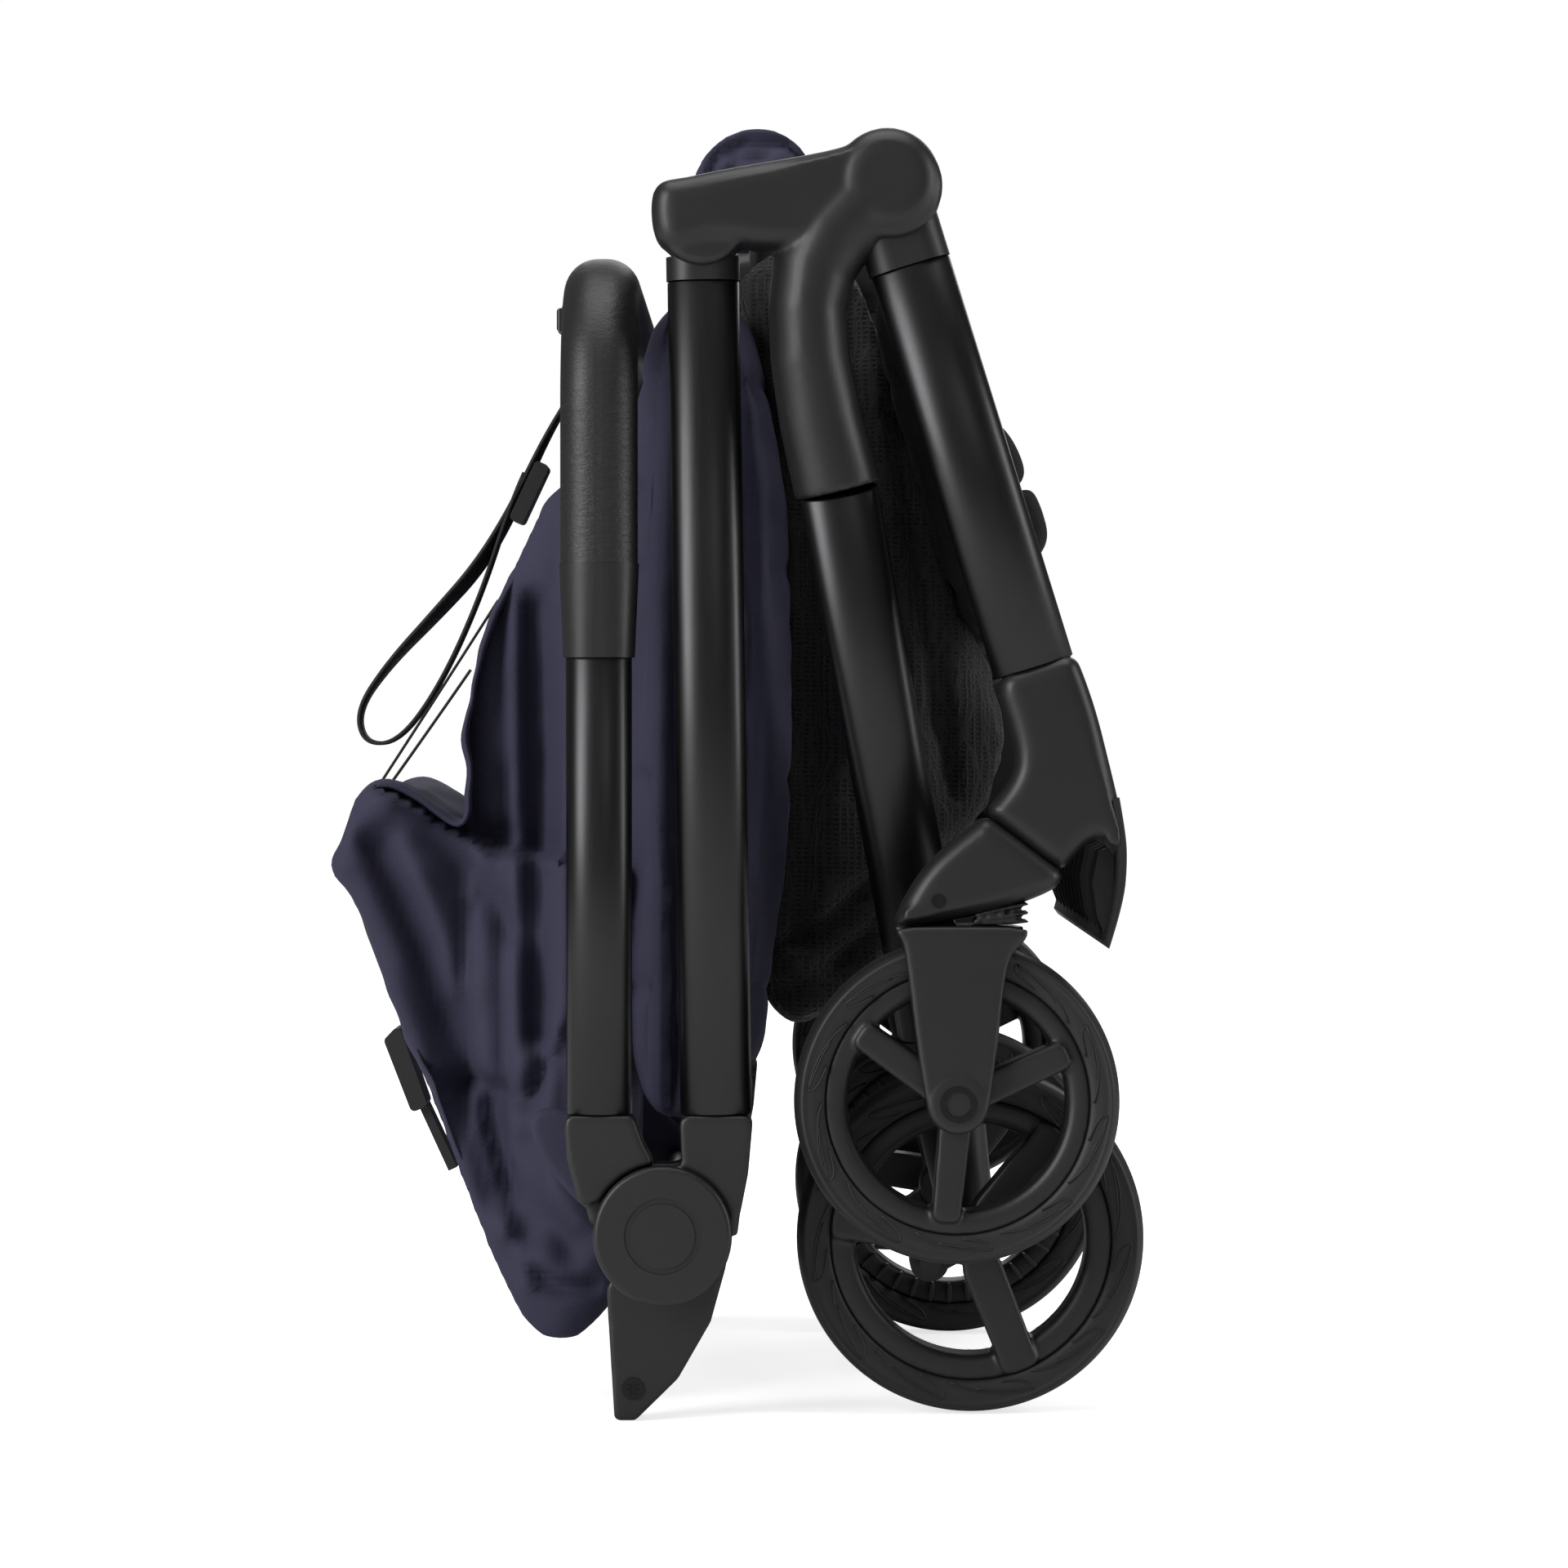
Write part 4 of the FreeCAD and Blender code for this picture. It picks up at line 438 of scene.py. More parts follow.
# %% Tools for folded cloth
def rounded_ring(corners, rounds=2):
    """Cut the corners of a closed outline; each round turns them into softer ones."""
    ring = [np.array(corner, float) for corner in corners]
    for _ in range(rounds):
        cut = []
        for a, b in zip(ring, ring[1:] + ring[:1]):
            cut += [a * 0.75 + b * 0.25, a * 0.25 + b * 0.75]
        ring = cut
    return ring


def remeshed_prism(name, outline, half, voxel, middle=0.0):
    """A side outline in millimetres, stretched across both sides and remeshed; returns a mesh in metres."""
    ring = rounded_ring(outline)
    mesh_ = bmesh.new()
    ends = [[mesh_.verts.new((x * MM, (middle + side * half) * MM, z * MM)) for x, z in ring] for side in (-1, 1)]
    mesh_.faces.new(ends[0])
    mesh_.faces.new(ends[1][::-1])
    for k in range(len(ring)):
        j = (k + 1) % len(ring)
        mesh_.faces.new((ends[0][j], ends[0][k], ends[1][k], ends[1][j]))
    bmesh.ops.recalc_face_normals(mesh_, faces=mesh_.faces)
    data = bpy.data.meshes.new(name)
    mesh_.to_mesh(data)
    mesh_.free()
    made = new_object(name, data)
    return remeshed(made, voxel, 4)


def remeshed(made, voxel, rounds):
    """Even squares of one skin round everything in the mesh, smoothed until no stair steps are left."""
    modifier = made.modifiers.new("even_squares", "REMESH")
    modifier.mode = "VOXEL"
    modifier.voxel_size = voxel * MM
    return smoothed(made, rounds)


def smoothed(made, rounds, share=0.5):
    modifier = made.modifiers.new("smooth", "SMOOTH")
    modifier.factor = share
    modifier.iterations = rounds
    return applied(made)


def applied(made):
    """Turn an object's modifiers into its mesh."""
    depsgraph = bpy.context.evaluated_depsgraph_get()
    mesh = bpy.data.meshes.new_from_object(made.evaluated_get(depsgraph))
    made.modifiers.clear()
    old, made.data = made.data, mesh
    bpy.data.meshes.remove(old)
    for polygon in mesh.polygons:
        polygon.use_smooth = True
    return made


def points_of(made):
    flat = np.empty(len(made.data.vertices) * 3)
    made.data.vertices.foreach_get("co", flat)
    return flat.reshape(-1, 3) / MM


def set_points(made, points):
    made.data.vertices.foreach_set("co", (points * MM).ravel())
    made.data.update()


def to_line(points, line):
    """Distance of side-view points from a line of straight runs, and on which side: + is left of it."""
    best = np.full(len(points), 1e9)
    side = np.ones(len(points))
    for a, b in zip(line, line[1:]):
        a, b = np.array(a, float), np.array(b, float)
        run = b - a
        share = np.clip(((points - a) @ run) / (run @ run), 0, 1)
        away = points - (a + share[:, None] * run)
        distance = np.hypot(away[:, 0], away[:, 1])
        nearer = distance < best
        turn = run[0] * away[:, 1] - run[1] * away[:, 0]
        side = np.where(nearer, np.where(turn >= 0, 1.0, -1.0), side)
        best = np.where(nearer, distance, best)
    return best, side


def ease(value):
    value = np.clip(value, 0, 1)
    return value * value * (3 - 2 * value)


def fold_height(flat, folds):
    """How far the skin stands out, in millimetres, at side-view points."""
    height = np.zeros(len(flat))
    for line, depth, wide, step, reach in folds:
        distance, side = to_line(flat, line)
        height += depth * np.exp(-(distance / wide) ** 2)
        if step:
            over = ease(0.5 + side * distance / (0.5 * wide) / 2)
            height += step * over * np.exp(-(distance / reach) ** 2 * (side > 0))
    return height


def wrinkles(points, sizes, seed):
    """Smooth uneven ripples: waves of a few directions, each bent by another."""
    draw = np.random.default_rng(seed)
    total = np.zeros(len(points))
    for length, height in sizes:
        for _ in range(4):
            way = draw.normal(size=3)
            way /= np.linalg.norm(way)
            bend = draw.normal(size=3)
            bend /= np.linalg.norm(bend)
            phase = draw.uniform(0, 2 * math.pi, 2)
            lean = np.sin(points @ bend * (2 * math.pi / (length * 2.3)) + phase[1]) * 1.4
            total += height / 2 * np.sin(points @ way * (2 * math.pi / length) + lean + phase[0])
    return total


def dress_bundle(made, outline, half, folds, panel_folds=(), border=14.0, edge_round=9.0, sag=5.0,
                 ripple=((46, 1.2), (19, 0.4)), middle=0.0, seed=1, proud=11.0):
    """Round a remeshed bundle's borders, sag it between its sides, and press its folds in."""
    points = points_of(made)
    flat = points[:, [0, 2]]
    ring = rounded_ring(outline)
    inside, _ = to_line(flat, ring + ring[:1])
    across_share = np.clip(np.abs(points[:, 1] - middle) / half, 0, 1)
    side = np.where(points[:, 1] >= middle, 1.0, -1.0)
    on_side = ease((across_share - 0.93) / 0.06)
    height = fold_height(flat, folds) * on_side
    height = np.where(height > 0, proud * np.tanh(height / proud), height)
    height -= border * np.exp(-inside / 9.0) * across_share ** 3
    on_edge = np.exp(-inside / 5.0)
    normals = np.empty(len(points) * 3)
    made.data.vertices.foreach_get("normal", normals)
    normals = normals.reshape(-1, 3)
    out = normals * np.array([1, 0, 1])
    out /= np.maximum(np.linalg.norm(out, axis=1), 1e-6)[:, None]
    pull = -edge_round * ease((across_share - 0.86) / 0.14) ** 2 - sag * np.cos(across_share * math.pi / 2) ** 2
    pull += fold_height(points[:, [1, 2]], panel_folds) * ease((np.abs(normals[:, 0]) - 0.5) / 0.3)
    ripples = wrinkles(points * np.array([1, 0.6, 1]), ripple, seed)
    new = points + out * ((pull + ripples) * on_edge * (1 - on_side))[:, None]
    new[:, 1] += side * (height + ripples * on_side * (1 - np.exp(-inside / 6.0)))
    set_points(made, new)
    return smoothed(made, 1)


# %% [markdown]
# The hood lies folded against the handlebar. Its brim makes the long lobe that points away from the frame;
# the rear panels stand behind it as a taller lobe. Both are one skin. The list of folds names each crease: a
# line, how deep it is, how wide, how much one layer stands over the other, and how far that layer reaches.

# %% The folded hood
hood_outline = [(-178.5, 231.5), (-168.5, 246), (-166.5, 264), (-150.0, 271.5), (-133, 259.5), (-112.0, 244.5),
                (-104.0, 243.5), (-117.5, 252.0), (-119.5, 270.0), (-119.0, 293.0), (-114.5, 320.0),
                (-101.0, 353.0), (-79.5, 399.0), (-56.0, 400.0), (-47.0, 382.0), (-46.5, 100.0), (-51.0, 48.0),
                (-60.0, 35.0), (-74.0, 26.0), (-88.0, 31.0), (-99.5, 47.5), (-123.5, 106.4), (-146.5, 164.3),
                (-165.5, 219.0)]
brim_binding = [(-167, 247), (-160, 231), (-149, 209), (-130, 163), (-116, 131), (-103, 95), (-93, 62)]
hood_folds = [
    (brim_binding, 3.0, 2.8, 0, 1),
    ([(-156, 241), (-147, 220), (-136, 196), (-124, 153), (-114, 126), (-103, 92)], -17.0, 8.0, 0, 1),
    ([(-146, 249), (-128, 240), (-112, 223), (-98, 206)], -10.0, 8.0, 0, 1),
    ([(-150, 262), (-139, 238), (-131, 214), (-124, 180)], 5.0, 7.0, 0, 1),
    ([(-117, 139), (-117, 180), (-116, 215)], -7.0, 4.5, -9.0, 26),
    ([(-113, 243), (-106, 239), (-97, 238)], 0.0, 4.0, -26.0, 120),
    ([(-98, 139), (-99, 208), (-101, 290), (-101, 350)], -4.0, 4.5, -12.0, 50),
    ([(-88, 345), (-87, 254), (-86, 160)], -19.0, 6.0, 0, 1),
    ([(-74, 345), (-75, 202), (-76, 171), (-81, 149), (-83, 123), (-79, 96), (-67, 80)], 6.0, 3.4, 9.0, 30),
    ([(-81, 151), (-91, 133), (-103, 138), (-114, 141)], -9.0, 4.5, -9.0, 24),
    ([(-114, 139), (-113, 122), (-105, 95), (-98, 69), (-91, 63), (-90, 53)], 6.0, 3.0, 0, 1),
    ([(-106, 128), (-98, 96), (-91, 76)], -13.0, 7.0, 0, 1),
    ([(-98, 69), (-89, 59), (-76, 52), (-62, 53)], -9.0, 3.6, 0, 1),
    ([(-90, 112), (-86, 88), (-72, 68)], -9.0, 6.0, 0, 1),
    ([(-64, 390), (-62, 300), (-61, 200)], -6.0, 7.0, 0, 1),
]
hood = remeshed_prism("hood_fabric", hood_outline, 147.0, 3.0)
dress_bundle(hood, hood_outline, 147.0, hood_folds, seed=3)
hood.data.materials.append(navy)
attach(hood, "canopy")
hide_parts("canopy")
print("hood faces:", len(hood.data.polygons))


# %% [markdown]
# The seat is padded, so its cloth is tight over a filling. Cloth simulation shows how such a cover swells:
# the remeshed shape starts a little small, air pressure from inside pushes it out, and the cloth's own
# stiffness makes the soft dents near borders. Each point may move only a few millimetres, so that the pad
# stays where the frame leaves room for it.

# %% Padding by cloth simulation
def puffed(made, cap, pressure=4.0, frames=20):
    """Swell a closed mesh as a filled cushion; no point moves further than the cap, in millimetres."""
    start = points_of(made)
    cloth = made.modifiers.new("filling", "CLOTH")
    cloth.settings.quality = 4
    cloth.settings.use_pressure = True
    cloth.settings.uniform_pressure_force = pressure
    cloth.settings.effector_weights.gravity = 0.0
    scene = bpy.context.scene
    for step in range(1, frames + 1):
        scene.frame_set(step)
    applied(made)
    moved = points_of(made) - start
    far = np.linalg.norm(moved, axis=1)
    set_points(made, start + moved * np.minimum(1.0, cap / np.maximum(far, 1e-6))[:, None])
    scene.frame_set(1)
    print(made.name, "swelled by up to", round(float(min(far.max(), cap)), 1), "mm")
    return made


# %% [markdown]
# The seat's back hangs between the two limbs of the handlebar. Its long pleats run up and down, because the
# cover is longer than the folded frame. Sewn channels cross the panel every 90 mm, and they are pressed in
# after the simulation, since remeshing would have swallowed them.

# %% The seat's back
back_outline = [(-43.0, 130.0), (-43.5, 330.0), (-39.0, 430.0), (-31.0, 484.0), (-9.0, 485.0), (1.0, 469.0),
                (11.0, 430.0), (17.5, 370.0), (19.0, 317.0), (18.0, 255.0), (10.5, 190.0), (4.0, 142.0),
                (-12.0, 124.0), (-31.0, 120.0)]
back_folds = [
    ([(-24, 484), (-35, 440), (-39, 330), (-39, 130)], -9.0, 3.2, 0, 1),
    ([(-18, 470), (-30, 400), (-33, 300), (-33, 140)], 5.0, 3.0, 0, 1),
    ([(-10, 480), (-22, 400), (-26, 250), (-27, 130)], -10.0, 4.0, 0, 1),
    ([(4, 462), (10, 400), (12, 300), (8, 200), (0, 135)], 4.0, 3.5, 0, 1),
    ([(-2, 440), (4, 380), (5, 300), (2, 210), (-4, 140)], -8.0, 4.0, 0, 1),
]
channels = [([(-150, z), (0, z - 4), (150, z)], -4.5, 3.5, 0, 1) for z in (180, 270, 360, 440)]
channels += [([(side * 118, 130), (side * 124, 300), (side * 116, 480)], -4.5, 3.5, 0, 1) for side in (-1, 1)]
seat_back = remeshed_prism("seat_back_pad", back_outline, 158.0, 4.0)
puffed(seat_back, 5.0)
dress_bundle(seat_back, back_outline, 158.0, back_folds, channels, border=8.0, edge_round=6.0, sag=2.0,
             ripple=((60, 1.4), (23, 0.6)), seed=8, proud=5.0)
seat_back.data.materials.append(navy)
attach(seat_back, "handlebar_lower")
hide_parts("seat_back")
print("seat back faces:", len(seat_back.data.polygons))


# %% [markdown]
# Over the bar between the hubs the seat's cover is thrown in a roll. A roll is a coil of cloth, so its end
# shows the turns, and its skin has a soft dent where each turn ends.

# %% The roll over the hubs
low, high = (np.array(corner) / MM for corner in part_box("seat_fold"))
roll_outline = [(low[0], low[2] + 4), (low[0] + 1, low[2] + 15), (low[0] + 9, high[2] - 6), (low[0] + 22, high[2]),
                (high[0] - 16, high[2] - 1), (high[0] - 5, high[2] - 8), (high[0], low[2] + 12),
                (high[0] - 3, low[2] + 1), (low[0] + 14, low[2])]
roll_folds = [
    ([(low[0] + 6, low[2] + 4), (low[0] + 9, high[2] - 13), (low[0] + 22, high[2] - 7), (high[0] - 12, high[2] - 8),
      (high[0] - 5, high[2] - 15)], -9.0, 2.6, 0, 1),
    ([(low[0] + 13, low[2] + 3), (low[0] + 17, high[2] - 15), (low[0] + 30, high[2] - 14)], -7.0, 2.4, 0, 1),
]
seat_roll = remeshed_prism("seat_fabric_roll", roll_outline, 144.0, 2.6)
dress_bundle(seat_roll, roll_outline, 144.0, roll_folds, border=9.0, edge_round=5.0, sag=1.0,
             ripple=((40, 1.6), (17, 0.6)), seed=5, proud=5.0)
seat_roll.data.materials.append(navy)
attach(seat_roll, "rear_frame")
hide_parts("seat_fold")
print("roll faces:", len(seat_roll.data.polygons))


# %% [markdown]
# The hub is one large moulding: an arm over both pivots, and an elbow that turns down into the rear leg.
# Its faces flow into each other, as an injection mould allows. Blocks with rounded rims and a swept elbow
# are put together first, one voxel remesh then makes a single skin of them, and smoothing rounds the
# creases where they meet. A slot in the middle leaves room for the tongues of both limbs.

# %% Tools for moulded shells
def inset_ring(ring, depth):
    """Move a closed ring of side-view points towards its inside."""
    area = sum(a[0] * b[1] - b[0] * a[1] for a, b in zip(ring, ring[1:] + ring[:1]))
    moved = []
    for before, here, after in zip(ring[-1:] + ring[:-1], ring, ring[1:] + ring[:1]):
        along = (after - before) / max(np.linalg.norm(after - before), 1e-9)
        inward = np.array([-along[1], along[0]]) * (1 if area > 0 else -1)
        moved.append(here + inward * depth)
    return moved


def add_rings(mesh_, rings):
    """Skin a list of closed rings, and close both ends."""
    loops = [[mesh_.verts.new(tuple(c * MM for c in point)) for point in ring] for ring in rings]
    count = len(loops[0])
    for a, b in zip(loops, loops[1:]):
        for k in range(count):
            j = (k + 1) % count
            mesh_.faces.new((a[k], a[j], b[j], b[k]))
    mesh_.faces.new(loops[0][::-1])
    mesh_.faces.new(loops[-1])


def add_block(mesh_, outline, middle, half, rim, rounds=2):
    """A side outline with thickness, whose rims are quarter rounds."""
    ring = rounded_ring(outline, rounds)
    steps = [math.radians(a) for a in (0, 22.5, 45, 67.5, 90)]
    rims = [(half - rim * (1 - math.cos(a)), rim * (1 - math.sin(a))) for a in steps]
    levels = [(-y, d) for y, d in rims] + [(y, d) for y, d in reversed(rims)]
    add_rings(mesh_, [[(x, middle + y, z) for x, z in inset_ring(ring, d)] for y, d in levels])


def add_sweep(mesh_, stations):
    """A tube through stations of x, y, z, half width in the side view and half depth across."""
    rings = []
    centres = [Vector(station[:3]) for station in stations]
    for k, station in enumerate(stations):
        ahead = (centres[min(k + 1, len(centres) - 1)] - centres[max(k - 1, 0)]).normalized()
        wide = ahead.cross(Vector((0, 1, 0))).normalized()
        deep = wide.cross(ahead)
        rings.append([tuple(centres[k] + wide * (math.cos(t) * station[3]) + deep * (math.sin(t) * station[4]))
                      for t in (2 * math.pi * i / 28 for i in range(28))])
    add_rings(mesh_, rings)


def box_object(name, low, high):
    mesh_ = bmesh.new()
    bmesh.ops.create_cube(mesh_, size=1)
    for vertex in mesh_.verts:
        vertex.co = Vector([(l + h) / 2 + c * (h - l) for c, l, h in zip(vertex.co, low, high)]) * MM
    data = bpy.data.meshes.new(name)
    mesh_.to_mesh(data)
    mesh_.free()
    return new_object(name, data)


def moulded(name, build, voxel, rounds, cuts=()):
    """Build blocks and sweeps into one mesh, give them one smooth skin, and cut boxes out of it."""
    mesh_ = bmesh.new()
    build(mesh_)
    bmesh.ops.recalc_face_normals(mesh_, faces=mesh_.faces)
    data = bpy.data.meshes.new(name)
    mesh_.to_mesh(data)
    mesh_.free()
    made = remeshed(new_object(name, data), voxel, rounds)
    for low, high in cuts:
        cutter = box_object("cutter", low, high)
        modifier = made.modifiers.new("slot", "BOOLEAN")
        modifier.operation = "DIFFERENCE"
        modifier.object = cutter
        modifier.solver = "FAST"
        applied(made)
        bpy.data.objects.remove(cutter)
    return made


# %% [markdown]
# The arm and the elbow are placed by the two pivots of the hub. Each outline is read from the tail of the arm
# round to its front lobe, and each station of the elbow gives a centre and two half widths.

# %% The hubs
RAIL = 195.0
HANDLE_PIVOT = (-14.2, 505.7)
LEG_PIVOT = (61.5, 520.7)
hub_arm = [(-35, 499), (-35.5, 514), (-31, 520), (-22, 521), (-6, 524.5), (27, 530), (46, 534), (54, 538.5),
           (62, 539.5), (62, 500), (42, 493), (14, 491), (0, 493), (-12, 494), (-23, 490), (-31, 492)]
elbow = [(62.5, 0, 519.5, 21.0, 20.4), (50, 0, 509.5, 20.5, 20.6), (39.5, 0, 498.5, 19.4, 20.6),
         (32.5, 0, 484, 17.8, 20.4), (29.8, 0, 467, 16.5, 19.8), (31, -0.5, 446, 16.8, 18.6),
         (35.6, -2.5, 420, 17.6, 17.2), (42.6, -5.0, 391.6, 18.4, 16.4)]


def circle_outline(x, z, radius, wide=1.0):
    return [(x + wide * radius * math.cos(t), z + radius * math.sin(t))
            for t in (2 * math.pi * i / 16 for i in range(16))]


def hub_parts(side):
    def build(mesh_):
        add_block(mesh_, hub_arm, side * RAIL, 18.6, 9.0)
        add_block(mesh_, circle_outline(63.0, 519.6, 22.6), side * RAIL, 20.4, 10.0)
        add_block(mesh_, circle_outline(-14.2, 502.6, 18.6), side * RAIL, 15.0, 3.0)
        add_block(mesh_, circle_outline(64.0, 517.6, 22.4), side * RAIL, 15.5, 3.0)
        add_sweep(mesh_, [(x, side * (RAIL + y), z, wide, deep) for x, y, z, wide, deep in elbow])
    return build


SLOT = 4.6
for name, side in (("right", -1), ("left", 1)):
    y_low, y_high = side * RAIL - SLOT, side * RAIL + SLOT
    tongue_slots = [((-60, y_low, 460), (-2, y_high, 517.3)), ((49.5, y_low, 478), (104, y_high, 550.8))]
    hub = moulded(f"hub_moulding_{name}", hub_parts(side), 1.5, 5, tongue_slots)
    hub.data.materials.append(nylon)
    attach(hub, "rear_frame")
    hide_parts(f"hub_shell_{name}")
    print(hub.name, "faces:", len(hub.data.polygons))


# %% [markdown]
# Under each front leg's tube sits the knee, which turns the leg's line back to the swivel of the wheel. Its
# outer edge runs on into the footboard in one curve, and an arch is left open between them.

# %% The knees of the front legs
knee_outline = [(107.4, 312.6), (124.2, 318.8), (141.2, 324.0), (146.4, 311), (151, 297), (155.5, 279), (159.6, 262),
                (162.2, 249), (161.8, 240), (158.0, 238), (154.5, 243.5), (150.5, 245.6), (146.5, 243.5),
                (141, 238), (135.6, 231.4), (119.5, 243.6), (103.2, 256.6), (110, 263.6), (115.4, 271.6),
                (117, 280), (114.6, 292)]
for name, side in (("right", -1), ("left", 1)):
    knee = moulded(f"knee_moulding_{name}",
                   lambda mesh_: add_block(mesh_, knee_outline, side * RAIL, 12.2, 7.5, rounds=2), 1.2, 6)
    knee.data.materials.append(nylon)
    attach(knee, "front_frame")
    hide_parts(f"front_fitting_{name}")
    print(knee.name, "faces:", len(knee.data.polygons))


# %% [markdown]
# The footboard is a thin curved shell between both knees. Ribs stiffen its hollow side. They repeat at an
# even pitch across the board, so Geometry Nodes place one rib at each point of a line.

# %% The footboard
board_outer = [(159.8, 263), (162.4, 249), (163.2, 237), (161.8, 219), (155.6, 199.8)]
board_inner = [(153.6, 202.6), (157.9, 218), (159.3, 236), (158.4, 249), (156.6, 262)]
board_half = 206.0


def nurbs_outline(points, name="outline"):
    line = line_of(nurbs(name, [(x * MM, 0, z * MM) for x, z in points], 6))
    return [(p.x / MM, p.z / MM) for p in line]


board = new_object("footboard_shell", bpy.data.meshes.new("footboard_shell"))
mesh_ = bmesh.new()
board_ring = nurbs_outline(board_outer) + nurbs_outline(board_inner)
add_rings(mesh_, [[(x, y, z) for x, z in inset_ring([np.array(p) for p in board_ring], d)]
                  for y, d in ((-board_half, 0.6), (-board_half + 0.8, 0), (board_half - 0.8, 0), (board_half, 0.6))])
rib_outline = [(158.6, 243), (158.4, 219), (154.6, 205.5), (151.6, 213), (149.6, 227), (152.2, 240)]
bmesh.ops.recalc_face_normals(mesh_, faces=mesh_.faces)
mesh_.to_mesh(board.data)
mesh_.free()


def node_tree(name, inputs):
    """A Geometry Nodes tree with named inputs and one geometry output."""
    tree_ = bpy.data.node_groups.new(name, "GeometryNodeTree")
    tree_.interface.new_socket("Geometry", in_out="INPUT", socket_type="NodeSocketGeometry")
    for label, kind, value in inputs:
        socket = tree_.interface.new_socket(label, in_out="INPUT", socket_type=kind)
        if value is not None:
            socket.default_value = value
    tree_.interface.new_socket("Geometry", in_out="OUTPUT", socket_type="NodeSocketGeometry")
    return tree_, tree_.nodes.new("NodeGroupInput"), tree_.nodes.new("NodeGroupOutput")


def link_end(tree_, geometry, output, material):
    """Realise the instances, set the material and end the tree."""
    real = add(tree_, "GeometryNodeRealizeInstances", Geometry=geometry)
    done = add(tree_, "GeometryNodeSetMaterial", Geometry=real.outputs["Geometry"], Material=material)
    tree_.links.new(done.outputs["Geometry"], output.inputs[0])


def with_tree(made, tree_, **values):
    """Run a tree on an object with its inputs set by name, and keep the result as a plain mesh."""
    modifier = made.modifiers.new(tree_.name, "NODES")
    modifier.node_group = tree_
    for item in tree_.interface.items_tree:
        label = item.name.replace(" ", "_").lower()
        if item.in_out == "INPUT" and label in values:
            modifier[item.identifier] = values[label]
    return applied(made)


row_tree, row_in, row_out = node_tree("row_of_ribs", [("Rib", "NodeSocketObject", None), ("Count", "NodeSocketInt", 13),
                                                     ("Half width", "NodeSocketFloat", 0.2)])
rib_info = add(row_tree, "GeometryNodeObjectInfo", Object=row_in.outputs["Rib"])
start = add(row_tree, "ShaderNodeCombineXYZ",
            Y=add(row_tree, "ShaderNodeMath", {"operation": "MULTIPLY"}, i0=row_in.outputs["Half width"],
                  i1=-1.0).outputs[0])
end = add(row_tree, "ShaderNodeCombineXYZ", Y=row_in.outputs["Half width"])
line_node = add(row_tree, "GeometryNodeMeshLine", {"mode": "END_POINTS"}, Count=row_in.outputs["Count"])
row_tree.links.new(start.outputs["Vector"], line_node.inputs["Start Location"])
row_tree.links.new(end.outputs["Vector"], line_node.inputs["Offset"])
ribs = add(row_tree, "GeometryNodeInstanceOnPoints", Points=line_node.outputs["Mesh"],
           Instance=rib_info.outputs["Geometry"])
joined = add(row_tree, "GeometryNodeJoinGeometry")
row_tree.links.new(ribs.outputs["Instances"], joined.inputs["Geometry"])
row_tree.links.new(row_in.outputs["Geometry"], joined.inputs["Geometry"])
link_end(row_tree, joined.outputs["Geometry"], row_out, nylon)

rib = new_object("one_rib", bpy.data.meshes.new("one_rib"))
mesh_ = bmesh.new()
add_rings(mesh_, [[(x, y, z) for x, z in rib_outline] for y in (-1.0, 1.0)])
bmesh.ops.recalc_face_normals(mesh_, faces=mesh_.faces)
mesh_.to_mesh(rib.data)
mesh_.free()
with_tree(board, row_tree, rib=rib, count=13, half_width=0.186)
bpy.data.objects.remove(rib)
for polygon in board.data.polygons:
    polygon.use_smooth = False
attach(board, "front_frame")
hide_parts("footboard")
print("footboard faces:", len(board.data.polygons))


# %% [markdown]
# Behind the seat hangs everything that is black: the shopping basket, the seat's side nets and its lining,
# packed together by the fold. Spacer mesh is knitted with open cells about 2.6 mm wide. The cells are drawn
# as a honeycomb relief, and their bottoms are painted darker: painted shade for the light that is lost in them.

# %% Black spacer mesh
black_mesh, tree, shader = new_material("black_spacer_mesh", "#1c1c1e", 0.78, ior=1.47)
cells = add(tree, "ShaderNodeTexVoronoi", {"feature": "DISTANCE_TO_EDGE"}, Vector=place(tree, (0.8, 0.8, 1.25)),
            Scale=1 / (2.6 * MM), Randomness=0.25)
# One mask gives the yarn's relief for the bump and the painted shade in the cell bottoms for the colour.
yarn_and_cell_shade = add(tree, "ShaderNodeMapRange", Value=cells.outputs["Distance"], From_Min=0.06, From_Max=0.26, To_Min=1.0,
           To_Max=0.0)
# Colour runs from painted shade in the cell bottoms to the yarn's own black on the ridges.
vary(tree, shader, "Base Color", yarn_and_cell_shade.outputs["Result"], "#0b0b0c", "#27272a")
shader.inputs["Sheen Weight"].default_value = 0.15
bump(tree, shader, yarn_and_cell_shade.outputs["Result"], 0.5, 0.9)


# %% [markdown]
# The bundle starts at the cross tube and hangs to just over the axle. Its folds run down it, as the nets hang
# from the seat's frame, and the lower ones turn forwards where the basket's bag lies doubled.

# %% The folded basket and nets
basket_outline = [(4, 496), (1.5, 476), (9, 440), (15.5, 390), (16.8, 317), (15.6, 250), (11.5, 205), (10.5, 186),
                  (16, 167), (28, 162), (47, 170), (64, 190), (77, 212), (86, 234), (105, 250), (118, 280),
                  (113, 302), (104, 324), (80, 400), (67, 446), (56, 486), (40, 498)]
basket_folds = [
    ([(24, 470), (33, 380), (34, 280), (26, 200)], -9.0, 5.0, 0, 1),
    ([(14, 196), (36, 206), (58, 226), (74, 236)], -7.0, 4.0, 6.0, 30),
    ([(47, 480), (58, 400), (66, 330), (72, 250)], -9.0, 5.0, 5.0, 24),
    ([(66, 430), (82, 340), (92, 262)], -8.0, 4.5, 0, 1),
    ([(20, 176), (40, 186), (60, 204)], -6.0, 4.0, 0, 1),
]
basket = remeshed_prism("basket_mesh", basket_outline, 104.0, 4.0)
